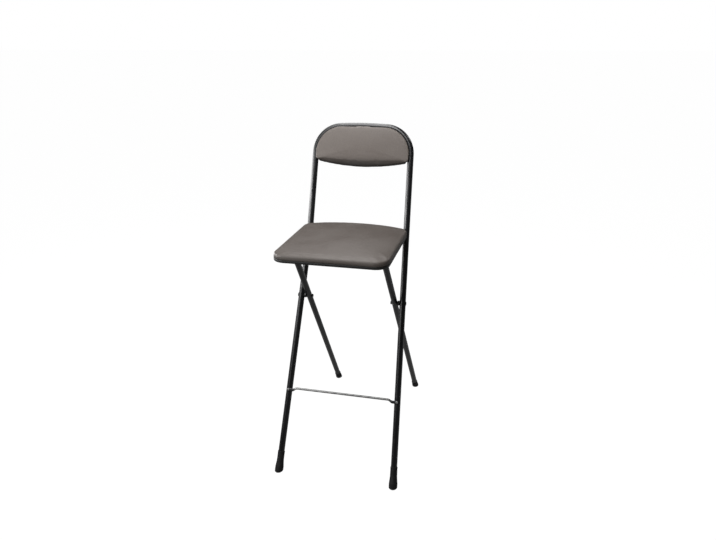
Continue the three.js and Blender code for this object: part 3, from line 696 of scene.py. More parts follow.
def ferrule_radius(cap, height):
    """Outer radius: a band at the sole, a hollow flare to the neck, then grip rings and a rolled lip."""
    share = min(1, max(0, (height - cap["band"]) / (cap["neck"] - cap["band"])))
    radius = cap["top"] + (cap["radius"] - cap["top"]) * (1 - share) ** flare_power
    for i in range(1, grip_count + 1):
        groove = cap["length"] - lip_height - i * grip_pitch
        radius -= grip_depth * math.exp(-(((height - groove) / grip_half_width) ** 2))
    rise = max(0, (height - cap["length"] + lip_height) / lip_height)
    return radius + lip_roll * math.sin(rise * math.pi)


def ferrule(name, foot, top, inner_radius, cap, lift):
    """Turned round the leg's own line from below the floor, then cut off level to make the sole."""
    rows = range(int(cap["length"] / ferrule_row))
    heights = [-2 * cap["radius"]] + [i * ferrule_row for i in rows] + [cap["length"]]
    profile = [(0.0, heights[0])] + [(ferrule_radius(cap, height), height) for height in heights]
    profile += [
        (inner_radius + piece_gap, cap["length"]),
        (inner_radius + piece_gap, lift - piece_gap),
        (0.0, lift - piece_gap),
    ]
    shape = turned(profile, ferrule_sides)
    bmesh.ops.transform(shape, matrix=aim(foot, (top - foot).normalized()), verts=shape.verts)
    cut = bmesh.ops.bisect_plane(shape, geom=shape.verts[:] + shape.edges[:] + shape.faces[:],
                                 plane_co=(0, 0, 0), plane_no=(0, 0, 1), clear_inner=True)
    rim = [e for e in cut["geom_cut"] if isinstance(e, bmesh.types.BMEdge)]
    bmesh.ops.contextual_create(shape, geom=rim)
    bmesh.ops.bevel(shape, geom=rim, offset=sole_bevel, segments=sole_bevel_steps, affect="EDGES",
                    profile=bevel_fullness)
    return to_object(name, shape)


for side_name, side in sides.items():
    front_ferrule = ferrule(f"front_ferrule_{side_name}", front_foot_at(side), knee_at(side),
                            tube_radius, front_cap, front_tube_lift)
    dress(front_ferrule, "front", rubber, [f"front_foot_{side_name}"], soft_shade)
    rear_ferrule = ferrule(f"rear_ferrule_{side_name}", rear_foot_at(side), rear_top_at(side),
                           rear_radius, rear_cap, rear_tube_lift)
    dress(rear_ferrule, "rear", rubber, [f"rear_foot_{side_name}"], soft_shade)


# Footrest
# A thin plated rod set a little above its own ends, which are pressed flat and screwed to the front of
# the two front legs.
bar_height, bar_rise = 238.5 * mm, 6 * mm
bar_radius = 3.5 * mm
tab_half_thickness, tab_half_height = 1.2 * mm, 4.8 * mm
tab_past_axis, tab_length, tab_flattening = 5 * mm, 20 * mm, 14 * mm
tab_round, tab_least_share = 4.8 * mm, 0.14
bar_screw = {"shank": 2 * mm, "head": 4 * mm, "height": 2 * mm, "rim": 0.6 * mm, "bite": 6 * mm}
bar_sides, screw_sides = 32, 32
bar_spacing, bar_middle_count, bar_crowding = 1.6 * mm, 12, 1.6
screw_tip = 0.3 * mm
slot_long_share, slot_wide_share, slot_deep_share = 0.55, 0.13, 0.55

zinc_dull, zinc_bright = (0.2, 0.2, 0.2, 1), (0.3, 0.3, 0.295, 1)
zinc_darker_end = (0.045, 0.045, 0.047, 1)
zinc_gloss = (0.42, 0.56)
zinc_haze_scale = 60
zinc_grain_scale, zinc_grain_depth = 1500, 0.03 * mm

front_face = Vector((0, -knee_place.z, knee_place.y)).normalized()
bar_up = front_face.cross(Vector((1, 0, 0)))
bar_axis = at_height(front_foot_at(RIGHT), knee_at(RIGHT), bar_height)
bar_stand_off = tube_radius + piece_gap + tab_half_thickness
bar_seat = Vector((0, bar_axis.y, bar_axis.z)) + front_face * bar_stand_off
bar_end = bar_axis.x + tab_past_axis
bar_straight_end = bar_end - tab_length - tab_flattening


def zinc_plate(name, darker_end_span=None):
    """Grey zinc plating; past the given distance from the piece's middle it turns darker."""
    made, tree, shader = new_material(name, Metallic=1.0)
    marks = place_group(tree, handling_marks, Haze_Scale=zinc_haze_scale)
    plating = blend_colour(tree, marks.outputs["Haze"], zinc_dull, zinc_bright)
    if darker_end_span:
        across = add_node(tree, "ShaderNodeSeparateXYZ", Vector=object_place(tree)).outputs["X"]
        darker_end = spread(tree, math_node(tree, "ABSOLUTE", across), *darker_end_span)
        plating = blend_colour(tree, darker_end, plating, zinc_darker_end)
    tree.links.new(plating, shader.inputs["Base Color"])
    tree.links.new(spread(tree, marks.outputs["Haze"], 0, 1, *zinc_gloss), shader.inputs["Roughness"])
    relief(tree, shader, cloud(tree, zinc_grain_scale, grain_detail), zinc_grain_depth)
    return made


zinc = zinc_plate("zinc_plate")
# The bar's flat ends are darker than its middle.
bar_zinc = zinc_plate("bar_zinc_plate", (bar_straight_end, bar_end - tab_length))


def eased(share):
    """A share held between 0 and 1 that starts and ends gently."""
    share = min(1, max(0, share))
    return share * share * (3 - 2 * share)


def bar_ring(place):
    """The bar's section at a distance from its middle: round, then eased flat and down to the tab."""
    to_end = bar_end - abs(place)
    pressed = eased(1 - (to_end - tab_length) / tab_flattening)
    half_thickness = bar_radius + (tab_half_thickness - bar_radius) * pressed
    half_height = bar_radius + (tab_half_height - bar_radius) * pressed
    if to_end < tab_round:
        half_height *= max(tab_least_share, math.sqrt(1 - (1 - to_end / tab_round) ** 2))
    centre = bar_seat + Vector((place, 0, 0)) + bar_up * bar_rise * (1 - pressed)
    return ring(centre, front_face, bar_up, half_thickness, half_height, bar_sides)


def bar_places():
    """Where the bar's rings stand: crowded towards its ends, few along its straight middle."""
    inner = bar_straight_end
    count = math.ceil((bar_end - inner) / bar_spacing)
    ends = [inner + (bar_end - inner) * (1 - (1 - i / count) ** bar_crowding) for i in range(count + 1)]
    middle = [-inner + 2 * inner * i / bar_middle_count for i in range(1, bar_middle_count)]
    return [-x for x in ends[::-1]] + middle + ends


def screw_shape(size, length):
    """A pan-head screw with its seat at z = 0, head below and shank up."""
    profile = dome(size["head"], size["height"], size["rim"]) + [
        (size["shank"], 0.0),
        (size["shank"], length - size["shank"]),
        (screw_tip, length),
        (0.0, length),
    ]
    return turned(profile, screw_sides)


def cross_slot(size):
    """Two crossed blades that cut the drive recess into a screw's head."""
    shapes = []
    for long_x, long_y in ((slot_long_share, slot_wide_share), (slot_wide_share, slot_long_share)):
        shape = bmesh.new()
        bmesh.ops.create_cube(shape, size=2)
        half_size = (long_x * size["head"], long_y * size["head"], slot_deep_share * size["height"], 1)
        blade = Matrix.Translation((0, 0, -size["height"])) @ Matrix.Diagonal(half_size)
        bmesh.ops.transform(shape, verts=shape.verts, matrix=blade)
        shapes.append(shape)
    return shapes


def screw_mesh(name, size, length):
    sample = to_object(name, screw_shape(size, length))
    carve(sample, cross_slot(size))
    mesh = sample.data
    mesh.name = name
    bpy.data.objects.remove(sample)
    return mesh


def place_screw(name, mesh, matrix, body, node):
    piece = link_object(name, mesh.copy())
    piece.matrix_world = matrix
    dress(piece, body, zinc, [node])


bar_shape = bmesh.new()
skin(bar_shape, [bar_ring(place) for place in bar_places()], capped=True)
footrest = to_object("footrest_rod", bar_shape)
bar_screw_mesh = screw_mesh("bar_screw", bar_screw, bar_screw["bite"])
bar_holes = []
for side_name, side in sides.items():
    seat = bar_seat + Vector((side * bar_axis.x, 0, 0)) + front_face * (tab_half_thickness + piece_gap)
    bore_start = seat + front_face * overrun
    bore_end = seat - front_face * (bar_screw["bite"] + overrun)
    for holes in (bar_holes, front_holes):
        holes.append(rod_shape(bore_start, bore_end, bar_screw["shank"] + piece_gap))
    place_screw(f"footrest_panhead_{side_name}", bar_screw_mesh, aim(seat, -front_face), "front",
                f"footrest_screw_{side_name}")
carve(footrest, bar_holes)
dress(footrest, "front", bar_zinc, ["footrest_bar"])
carve(front_tube, front_holes)
dress(front_tube, "front", frame_coating, ["front_frame"])


# Cross rod
# A 12 mm rod is welded between the uprights just under the seat's rear edge. The seat's hooks rest on it.
# The weld leaves a small fillet at each end.
rod_low, rod_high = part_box("cross_rod")
rod_middle, rod_end = (rod_low + rod_high) / 2, rod_high.x
rod_radius = (rod_high.z - rod_low.z) / 2
weld_reach, weld_height, rod_sink = 4 * mm, 2 * mm, 2.2 * mm
weld_shares = [0.0, 0.35, 0.6, 0.8, 1.0]

weld_rings = [(rod_end + rod_sink, rod_radius + weld_height)]
weld_rings += [(rod_end - s * weld_reach, rod_radius + weld_height * (1 - s) ** 2) for s in weld_shares]
rod_rings = [(-reach, radius) for reach, radius in weld_rings] + weld_rings[::-1]
backward, upward = Vector((0, 1, 0)), Vector((0, 0, 1))
rod_rows = []
for reach, radius in rod_rings:
    centre = Vector((reach, rod_middle.y, rod_middle.z))
    rod_rows.append(ring(centre, backward, upward, radius, radius, bar_sides))
welded_shape = bmesh.new()
skin(welded_shape, rod_rows, capped=True)
welded_rod = to_object("welded_rod", welded_shape)
dress(welded_rod, "front", frame_coating, ["cross_rod"])


# Seat board
# An 8 mm plywood board under the cushion, with softened edges that show its layers.
# The clips, the hooks and the cushion are all fixed to it.
seat_low, seat_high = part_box("seat_cushion")
board_low, board_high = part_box("seat_board")
seat_half = seat_high.x
seat_front_round, seat_rear_round = 41 * mm, 34 * mm
seat_rear_sweep = 68 * degree
seat_upright_gap = 3.5 * mm
knee_drop = 12 * mm
trim_inset, trim_thickness = 0.8 * mm, 2.6 * mm
edge_ease, ease_steps = 0.8 * mm, 4
outline_step, quarters = 4 * mm, 4
front_round_steps, rear_round_steps, bow_steps = 24, 16, 24

birch_dark, birch_light = (0.36, 0.25, 0.145, 1), (0.52, 0.38, 0.235, 1)
birch_pore = (0.2, 0.125, 0.065, 1)
glue_dark, glue_light = (0.2, 0.125, 0.07, 1), (0.46, 0.33, 0.2, 1)
birch_shine, birch_gloss = 0.35, (0.62, 0.78)
figure_scale, figure_detail, figure_stretch = 60, 6, (0.12, 1, 1)
pore_scale, pore_stretch, pore_depth, pore_share = 500, (0.06, 1, 1), 0.15 * mm, 0.35
figure_span, pore_span = (0.3, 0.7), (0.56, 0.7)
ply_pitch, ply_span, face_span = 3 * mm, (-0.4, 0.4), (0.6, 0.85)


def arc(x, y, radius, start, end, count):
    return [Vector((x + radius * math.cos(t), y + radius * math.sin(t)))
            for t in (start + (end - start) * i / count for i in range(count + 1))]


def curve_points(start, control, end, count):
    """Points after the start on a curve that leaves and arrives in line with its control point."""
    return [start * (1 - t) ** 2 + control * 2 * t * (1 - t) + end * t * t
            for t in ((i + 1) / count for i in range(count))]


def even_loop(points, step):
    """A closed outline re-spaced evenly from its first point, in a number that four divides, so that both
    halves match."""
    lengths = [0.0]
    for a, b in zip(points, points[1:] + points[:1]):
        lengths.append(lengths[-1] + (b - a).length)
    count = quarters * round(lengths[-1] / step / quarters)
    looped = points + points[:1]
    made, i = [], 0
    for k in range(count):
        want = lengths[-1] * k / count
        while lengths[i + 1] < want:
            i += 1
        made.append(looped[i].lerp(looped[i + 1], (want - lengths[i]) / (lengths[i + 1] - lengths[i])))
    return made


def mirrored(right_half):
    """The whole outline from its right half, which starts and ends on the middle line."""
    return right_half + [Vector((-p.x, p.y)) for p in right_half[-2:0:-1]]


def inward_ways(outline):
    """The direction square to the outline at each of its points, pointing into it."""
    ways = []
    for i in range(len(outline)):
        along = (outline[(i + 1) % len(outline)] - outline[i - 1]).normalized()
        ways.append(Vector((-along.y, along.x)))
    return ways


def inset(outline, distance):
    return [point + way * distance for point, way in zip(outline, inward_ways(outline))]


def seat_outline():
    """Square to the front with round corners; the rear corners sweep round in front of the uprights."""
    upright_axis = knee_place.y + front_line + knee_drop * math.tan(upright_lean)
    side_end = (upright_axis - tube_radius / math.cos(upright_lean) - seat_upright_gap
                - seat_rear_round * math.sin(seat_rear_sweep))
    front = arc(seat_half - seat_front_round, seat_low.y + seat_front_round, seat_front_round,
                -math.pi / 2, 0, front_round_steps)
    rear = arc(seat_half - seat_rear_round, side_end, seat_rear_round, 0, seat_rear_sweep, rear_round_steps)
    bow_start = rear[-1]
    control = Vector((bow_start.x - (seat_high.y - bow_start.y) * math.tan(seat_rear_sweep), seat_high.y))
    bow = curve_points(bow_start, control, Vector((0, seat_high.y)), bow_steps)
    return even_loop(mirrored([Vector((0, seat_low.y))] + front + rear + bow), outline_step)


def rounded_plate(outline, low, high):
    """A flat plate with eased edges, from z = low to z = high."""
    turns = [i / ease_steps * math.pi / 2 for i in range(ease_steps + 1)]
    rows = [(edge_ease * (1 - math.sin(t)), low + edge_ease * (1 - math.cos(t))) for t in turns]
    rows += [(edge_ease * (1 - math.sin(t)), high - edge_ease * (1 - math.cos(t))) for t in turns[::-1]]
    shape = bmesh.new()
    skin(shape, [[Vector((p.x, p.y, z)) for p in inset(outline, d)] for d, z in rows], capped=True)
    return shape


def plywood_board():
    """Birch: drawn-out figure and pores on the faces, layers and glue lines on the edges."""
    made, tree, shader = new_material("plywood", Specular_IOR_Level=birch_shine)
    figure = cloud(tree, figure_scale, figure_detail, figure_stretch)
    pores = cloud(tree, pore_scale, stretch=pore_stretch)
    face = blend_colour(tree, spread(tree, figure, *figure_span), birch_dark, birch_light)
    face = blend_colour(tree, spread(tree, pores, *pore_span, 0, pore_share), face, birch_pore)
    coordinates = add_node(tree, "ShaderNodeTexCoord")
    height = add_node(tree, "ShaderNodeSeparateXYZ", Vector=coordinates.outputs["Object"]).outputs["Z"]
    layer = math_node(tree, "SINE", math_node(tree, "MULTIPLY", height, 2 * math.pi / ply_pitch))
    layers = blend_colour(tree, spread(tree, layer, *ply_span), glue_dark, glue_light)
    flatness = add_node(tree, "ShaderNodeSeparateXYZ", Vector=coordinates.outputs["Normal"]).outputs["Z"]
    on_face = spread(tree, math_node(tree, "ABSOLUTE", flatness), *face_span)
    tree.links.new(blend_colour(tree, on_face, layers, face), shader.inputs["Base Color"])
    tree.links.new(spread(tree, figure, *figure_span, *birch_gloss), shader.inputs["Roughness"])
    relief(tree, shader, pores, pore_depth)
    return made


plywood = plywood_board()
seat_rim = seat_outline()
seat_panel = to_object("seat_panel", rounded_plate(
    inset(seat_rim, trim_inset + trim_thickness + piece_gap), board_low.z, board_high.z))
dress(seat_panel, "seat", plywood, ["seat_board"])


# Seat trim
# A black plastic band with a rounded face is pressed round the board's edge and hides the vinyl's fixing.
# It is one closed ring.
trim_low, trim_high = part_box("seat_trim")
# The band's section from the board's underside up, as shares of its thickness and height: how far out,
# how far up. The upper half mirrors the lower.
trim_lower_shares = [(0.0, 0.0), (0.62, 0.0), (0.86, 0.06), (0.97, 0.2)]
trim_upper_shares = [(out, 1 - up) for out, up in trim_lower_shares[::-1]]
trim_section_shares = trim_lower_shares + [(1.0, 0.5)] + trim_upper_shares
trim_rows = []
for out, up in trim_section_shares:
    height = trim_low.z + (trim_high.z - trim_low.z) * up
    line = inset(seat_rim, trim_inset + trim_thickness * (1 - out))
    trim_rows.append([Vector((p.x, p.y, height)) for p in line])
trim_shape = bmesh.new()
skin(trim_shape, trim_rows, looped=True)
seat_band = to_object("seat_edge_band", trim_shape)
dress(seat_band, "seat", moulding, ["seat_trim"], soft_shade)


# Seat cushion
# Foam under taupe vinyl, pulled tight over the board: a low crown, a rolled edge and sides drawn in at the
# bottom. A short cloth simulation gives the foam's push. The form starts a little proud, because the
# smoothing after it draws the pad in.
pad_edge, pad_crown = 14.3 * mm, 6 * mm
# The side from its foot to the shoulder, as shares of the edge's height: how far in, how far up.
pad_side_shares = [
    (0.12, 0.0), (0.06, 0.08), (0.02, 0.18), (0.0, 0.3), (0.0, 0.46),
    (0.01, 0.62), (0.05, 0.78), (0.13, 0.91), (0.28, 0.98), (0.5, 1.0),
]
crown_rows, crown_power, crown_tip_share = 12, 2.4, 0.06
start_out, start_up, cut_depth = 0.3 * mm, 1.4 * mm, 2 * mm
seat_swell, seat_voxel = 1.2 * mm, 4 * mm
held_height = 1.2 * mm
sim_frames = 20
settle_share, settle_rounds = 0.5, 3
foam = {
    "quality": 6,
    "mass": 0.25,
    "tension_stiffness": 30,
    "compression_stiffness": 30,
    "shear_stiffness": 10,
    "bending_stiffness": 0.8,
    "uniform_pressure_force": 4,
}

vinyl_low, vinyl_high = (0.136, 0.111, 0.096, 1), (0.155, 0.131, 0.115, 1)
vinyl_fleck, vinyl_valley_shade = (0.11, 0.09, 0.077, 1), (0.08, 0.066, 0.057, 1)
# The seat's copy of the vinyl is darkened by this factor as painted shade; the back's copy has its own
# factor.
seat_painted_shade = 0.76
# The dark colour and the share of the painted shade along the back cushion's rolled lower edge.
painted_shade_brown, painted_shade_share = (0.015, 0.013, 0.012, 1), 0.88
vinyl_shine, vinyl_gloss = 0.4, (0.46, 0.56)
vinyl_broad_scale, vinyl_fine_scale, vinyl_fine_detail = 9, 160, 4
vinyl_fleck_share, vinyl_valley_shade_share = 0.22, 0.3
pebble_scale, crease_scale, pebble_softness = 620, 260, 0.5
pebble_share, crease_share = 0.6, 0.4
crease_span, valley_span = (0.0, 0.12), (0.35, 0.8)
leather_depth, leather_strength = 0.35 * mm, 0.55
cloud_span, fleck_span = (0.3, 0.7), (0.35, 0.65)


def pad_shape(outline, side_rows, top):
    """A crowned pad. Each outline point has its own list of (in, up) for its side, all of the same length;
    then rows shrink towards the middle of the top."""
    ways = inward_ways(outline)
    middle_y = (min(p.y for p in outline) + max(p.y for p in outline)) / 2
    rows = []
    for step in range(len(side_rows[0])):
        row = []
        for point, way, side_row in zip(outline, ways, side_rows):
            inward, up = side_row[step]
            row.append(Vector((*(point + way * inward), up)))
        rows.append(row)
    shoulder = rows[-1]
    for k in range(1, crown_rows + 1):
        share = 1 - (1 - crown_tip_share) * k / crown_rows
        rise = 1 - share ** crown_power
        rows.append([Vector((p.x * share, middle_y + (p.y - middle_y) * share, p.z + (top - p.z) * rise))
                     for p in shoulder])
    shape = bmesh.new()
    skin(shape, rows, capped=True)
    return shape


def foam_push(piece, low, swell, voxel):
    """Remeshes the form, lets inner pressure push it out by the swell at most, smooths it and cuts the
    bottom flat."""
    remesh = piece.modifiers.new("remesh", "REMESH")
    remesh.mode = "VOXEL"
    remesh.voxel_size = voxel
    apply_modifiers(piece)
    start = [v.co.copy() for v in piece.data.vertices]
    held = piece.vertex_groups.new(name="held")
    held.add([i for i, p in enumerate(start) if p.z < low + held_height], 1.0, "REPLACE")
    cloth = piece.modifiers.new("cloth", "CLOTH")
    for key, value in foam.items():
        setattr(cloth.settings, key, value)
    cloth.settings.use_pressure = True
    cloth.settings.effector_weights.gravity = 0
    cloth.settings.vertex_group_mass = "held"
    cloth.point_cache.frame_start, cloth.point_cache.frame_end = 1, sim_frames
    for step in range(1, sim_frames + 1):
        bpy.context.scene.frame_set(step)
    apply_modifiers(piece)
    bpy.context.scene.frame_set(1)
    for vertex, before in zip(piece.data.vertices, start):
        travel = vertex.co - before
        if travel.length > swell:
            vertex.co = before + travel.normalized() * swell
    smooth = piece.modifiers.new("smooth", "SMOOTH")
    smooth.factor, smooth.iterations = settle_share, settle_rounds
    finer = piece.modifiers.new("finer", "SUBSURF")
    finer.levels = finer.render_levels = 1
    apply_modifiers(piece)
    piece.vertex_groups.clear()
    shape = bmesh.new()
    shape.from_mesh(piece.data)
    cut = bmesh.ops.bisect_plane(shape, geom=shape.verts[:] + shape.edges[:] + shape.faces[:],
                                 plane_co=(0, 0, low), plane_no=(0, 0, 1), clear_inner=True)
    rim = [e for e in cut["geom_cut"] if isinstance(e, bmesh.types.BMEdge)]
    bmesh.ops.holes_fill(shape, edges=rim)
    shape.to_mesh(piece.data)
    shape.free()


def toned(colour, tone):
    """The same colour, darker by a factor."""
    return (*(channel * tone for channel in colour[:3]), 1)


def taupe_vinyl(name, tone, painted_shade_span=None):
    """Embossed vinyl; towards the low end of the given span of the piece's own Y it is darkened by painted
    shade.
    """
    made, tree, shader = new_material(name, Specular_IOR_Level=vinyl_shine)
    broad = spread(tree, cloud(tree, vinyl_broad_scale), *cloud_span)
    fine = cloud(tree, vinyl_fine_scale, vinyl_fine_detail)
    fleck = spread(tree, fine, *fleck_span, 0, vinyl_fleck_share)
    ground = blend_colour(tree, broad, toned(vinyl_low, tone), toned(vinyl_high, tone))
    ground = blend_colour(tree, fleck, ground, toned(vinyl_fleck, tone))
    place = object_place(tree)
    # Painted shade: the colour darkens towards the low end of the span, in place of the shade under the
    # rolled lower edge.
    if painted_shade_span:
        level = add_node(tree, "ShaderNodeSeparateXYZ", Vector=place).outputs["Y"]
        painted_shade = spread(tree, level, *painted_shade_span, painted_shade_share, 0)
        ground = blend_colour(tree, painted_shade, ground, painted_shade_brown)
    cells = add_node(tree, "ShaderNodeTexVoronoi", {"feature": "SMOOTH_F1"}, Vector=place,
                     Scale=pebble_scale, Smoothness=pebble_softness).outputs["Distance"]
    creases = add_node(tree, "ShaderNodeTexVoronoi", {"feature": "DISTANCE_TO_EDGE"}, Vector=place,
                       Scale=crease_scale).outputs["Distance"]
    # Painted shade: the grain's valleys are darkened in colour, on top of their bump.
    valley = spread(tree, cells, *valley_span, 0, vinyl_valley_shade_share)
    embossed = blend_colour(tree, valley, ground, toned(vinyl_valley_shade, tone))
    tree.links.new(embossed, shader.inputs["Base Color"])
    tree.links.new(spread(tree, broad, 0, 1, *vinyl_gloss), shader.inputs["Roughness"])
    pebbles = math_node(tree, "MULTIPLY", math_node(tree, "SUBTRACT", 1.0, cells), pebble_share)
    height = math_node(tree, "ADD", pebbles, spread(tree, creases, *crease_span, 0, crease_share))
    relief(tree, shader, height, leather_depth, leather_strength)
    return made


seat_vinyl = taupe_vinyl("seat_vinyl", seat_painted_shade)
seat_side = []
for inward, up in pad_side_shares:
    height = up * (pad_edge + cut_depth + start_up)
    seat_side.append((inward * pad_edge - start_out, seat_low.z - cut_depth + height))

seat_top = seat_low.z + pad_edge + pad_crown + start_up
seat_pad = to_object("seat_pad_vinyl", pad_shape(seat_rim, [seat_side] * len(seat_rim), seat_top))
foam_push(seat_pad, seat_low.z, seat_swell, seat_voxel)
dress(seat_pad, "seat", seat_vinyl, ["seat_cushion"], soft_shade)


# Crossbar clips
# Two plated straps wrap under the rear frame's crossbar and are screwed up into the board, so that the
# seat turns on the crossbar.
board_screw = {"shank": 1.8 * mm, "head": 4 * mm, "height": 2.2 * mm, "rim": 0.7 * mm, "bite": 5.5 * mm}
strap_thickness, strap_ease = 2 * mm, 0.4 * mm
strap_flange = 19 * mm
bend_steps = 20
plate_bevel_steps, bevel_angle = 2, 40 * degree
bar_centre = Vector((0, rear_top_place.y + front_line, rear_top_place.z))
strap_inner = rear_radius + piece_gap
strap_outer = strap_inner + strap_thickness


def side_plate(profile, x, width, ease):
    """A side-view profile of (back, up) pushed out along X about a place, with eased edges."""
    shape = bmesh.new()
    rows = [[Vector((x + half * width / 2, back, up)) for back, up in profile] for half in (LEFT, RIGHT)]
    skin(shape, rows, capped=True)
    sharp = [e for e in shape.edges if len(e.link_faces) == 2 and e.calc_face_angle(0) > bevel_angle]
    bmesh.ops.bevel(shape, geom=sharp, offset=ease, segments=plate_bevel_steps, affect="EDGES",
                    profile=bevel_fullness, clamp_overlap=True)
    return shape


def half_round(centre, radius, start, end):
    return [(p.x, p.y) for p in arc(centre.y, centre.z, radius, start, end, bend_steps)]


def screw_from_below(name, mesh, node, x, plate_low, holes):
    """Places a board screw under a plate and adds its hole to the plate's list."""
    screw_low, screw_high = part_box(node)
    seat = Vector((x, (screw_low.y + screw_high.y) / 2, plate_low - piece_gap))
    bore_start = seat - Vector((0, 0, overrun))
    bore_end = seat + Vector((0, 0, 2 * overrun))
    holes.append(rod_shape(bore_start, bore_end, board_screw["shank"] + piece_gap))
    place_screw(name, mesh, Matrix.Translation(seat), "seat", node)


strap_top = board_low.z - piece_gap
strap_low = strap_top - strap_thickness
flange_front = bar_centre.y - strap_outer - strap_flange
flange_rear = bar_centre.y + strap_outer + strap_flange
strap_profile = [
    (flange_front, strap_top),
    (flange_front, strap_low),
    (bar_centre.y - strap_outer, strap_low),
    *half_round(bar_centre, strap_outer, math.pi, 2 * math.pi),
    (bar_centre.y + strap_outer, strap_low),
    (flange_rear, strap_low),
    (flange_rear, strap_top),
    (bar_centre.y + strap_inner, strap_top),
    *half_round(bar_centre, strap_inner, 2 * math.pi, math.pi),
    (bar_centre.y - strap_inner, strap_top),
]
strap_screw_length = strap_thickness + 2 * piece_gap + board_screw["bite"]
strap_screw_mesh = screw_mesh("strap_screw", board_screw, strap_screw_length)

for side_name, side in sides.items():
    low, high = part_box(f"crossbar_clip_{side_name}")
    x = (low.x + high.x) / 2
    strap_shape = side_plate(strap_profile, x, high.x - low.x, strap_ease)
    strap = to_object(f"crossbar_strap_{side_name}", strap_shape)
    holes = []
    for end_name in ("front", "rear"):
        screw_from_below(f"strap_panhead_{side_name}_{end_name}", strap_screw_mesh,
                         f"clip_screw_{side_name}_{end_name}", x, strap_low, holes)
    carve(strap, holes)
    dress(strap, "seat", zinc, [f"crossbar_clip_{side_name}"])


# Seat hooks
# Two black moulded hooks screwed under the board's rear drop onto the cross rod and hold the stool open.
# Each is a flat foot with two screws and a mouth that opens forwards and down.
hook_plate, hook_ease = 3 * mm, 0.6 * mm
hook_wall = 4.8 * mm
rear_lip, front_lip = -10 * degree, 145 * degree
hook_inner = rod_radius + piece_gap
hook_outer = hook_inner + hook_wall
hook_top = board_low.z - piece_gap
hook_low = hook_top - hook_plate
hook_screw_length = hook_plate + 2 * piece_gap + board_screw["bite"]
hook_screw_mesh = screw_mesh("hook_screw", board_screw, hook_screw_length)

for side_name, side in sides.items():
    low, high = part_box(f"seat_hook_{side_name}")
    x = (low.x + high.x) / 2
    hook_profile = [
        (rod_middle.y + hook_outer, hook_top),
        (low.y, hook_top),
        (low.y, hook_low),
        (rod_middle.y - hook_outer, hook_low),
        (rod_middle.y - hook_outer, rod_middle.z + hook_inner * math.sin(front_lip)),
        *half_round(rod_middle, hook_inner, front_lip, rear_lip),
        (rod_middle.y + hook_outer, rod_middle.z + hook_inner * math.sin(rear_lip)),
    ]
    hook_shape = side_plate(hook_profile, x, high.x - low.x, hook_ease)
    hook = to_object(f"rod_hook_{side_name}", hook_shape)
    holes = []
    for end_name in ("front", "rear"):
        screw_from_below(f"hook_panhead_{side_name}_{end_name}", hook_screw_mesh,
                         f"hook_screw_{side_name}_{end_name}", x, hook_low, holes)
    carve(hook, holes)
    dress(hook, "seat", moulding, [f"seat_hook_{side_name}"])


# Back board
# A 6 mm plywood board cut to fill the hoop. Four tabs welded to the tube's rear carry it by screws.
# Its lower edge bows down in the middle.
back_plane = Matrix.Translation(hoop_base) @ Matrix.Rotation(math.pi / 2 - upright_lean, 4, "X")
back_fit = 1.2 * mm
back_thickness = 6 * mm
back_rear = -3 * mm
back_side_low, back_middle_low, back_low_round = -22 * mm, -38.4 * mm, 7 * mm
back_half = hoop_x - tube_radius - back_fit
back_round = hoop_corner - tube_radius - back_fit
back_step = 3.5 * mm
back_low_steps, back_corner_steps, back_top_steps = 30, 10, 30

tab_thickness, tab_width, tab_reach = 2 * mm, 15 * mm, 24 * mm
tab_side_level, tab_top_offset = -8 * mm, 45 * mm
tab_weld_sink = 1.5 * mm
tab_end_steps = 16
back_bite = 4 * mm


def back_outline():
    """Fills the hoop; its lower corners are tight and its lower edge bows down in the middle."""
    bow = back_side_low - back_middle_low
    bow_radius = (back_half ** 2 + bow ** 2) / (2 * bow)
    bow_end = math.asin((back_half - back_low_round) / bow_radius)
    low_edge = arc(0, back_middle_low + bow_radius, bow_radius,
                   -math.pi / 2, bow_end - math.pi / 2, back_low_steps)
    corner = curve_points(low_edge[-1], Vector((back_half, back_side_low)),
                          Vector((back_half, back_side_low + back_low_round)), back_corner_steps)
    top_corner = arc(back_half - back_round, 0, back_round, 0, math.pi / 2, back_top_steps)
    top = [Vector((0, back_round + hoop_crown / 2))]
    return even_loop(mirrored(low_edge + corner + top_corner + top), back_step)


def tab_outline():
    """A tab along +X: its inner end is round, its outer end runs into the weld."""
    inner = arc(-tab_reach / 2 + tab_width / 2, 0, tab_width / 2,
                math.pi / 2, 3 * math.pi / 2, tab_end_steps)
    outer_end = tab_reach / 2 + tab_weld_sink
    return inner + [Vector((outer_end, -tab_width / 2)), Vector((outer_end, tab_width / 2))]


back_rim = back_outline()
back_panel = to_object("back_panel", rounded_plate(
    inset(back_rim, piece_gap), back_rear, back_rear + back_thickness))
back_panel.matrix_world = back_plane
dress(back_panel, "front", plywood, ["back_board"])

tab_front = back_rear - piece_gap
tab_rear = tab_front - tab_thickness
tube_chord = math.sqrt(tube_radius ** 2 - tab_front ** 2)
upright_splay = (knee_place.x - hoop_x) / (upright_length + corner_level)
tab_stand_off = tube_chord + piece_gap + tab_reach / 2
lower_x = hoop_x + upright_splay * (corner_level - tab_side_level) - tab_stand_off
upper_y = hoop_corner + hoop_crown * (1 - (tab_top_offset + tab_width / 2) / hoop_flat) - tab_stand_off
tabs = {"lower": (lower_x, tab_side_level), "upper": (tab_top_offset, upper_y)}
back_screw_length = tab_thickness + 2 * piece_gap + back_bite
back_screw_mesh = screw_mesh("back_screw", board_screw, back_screw_length)

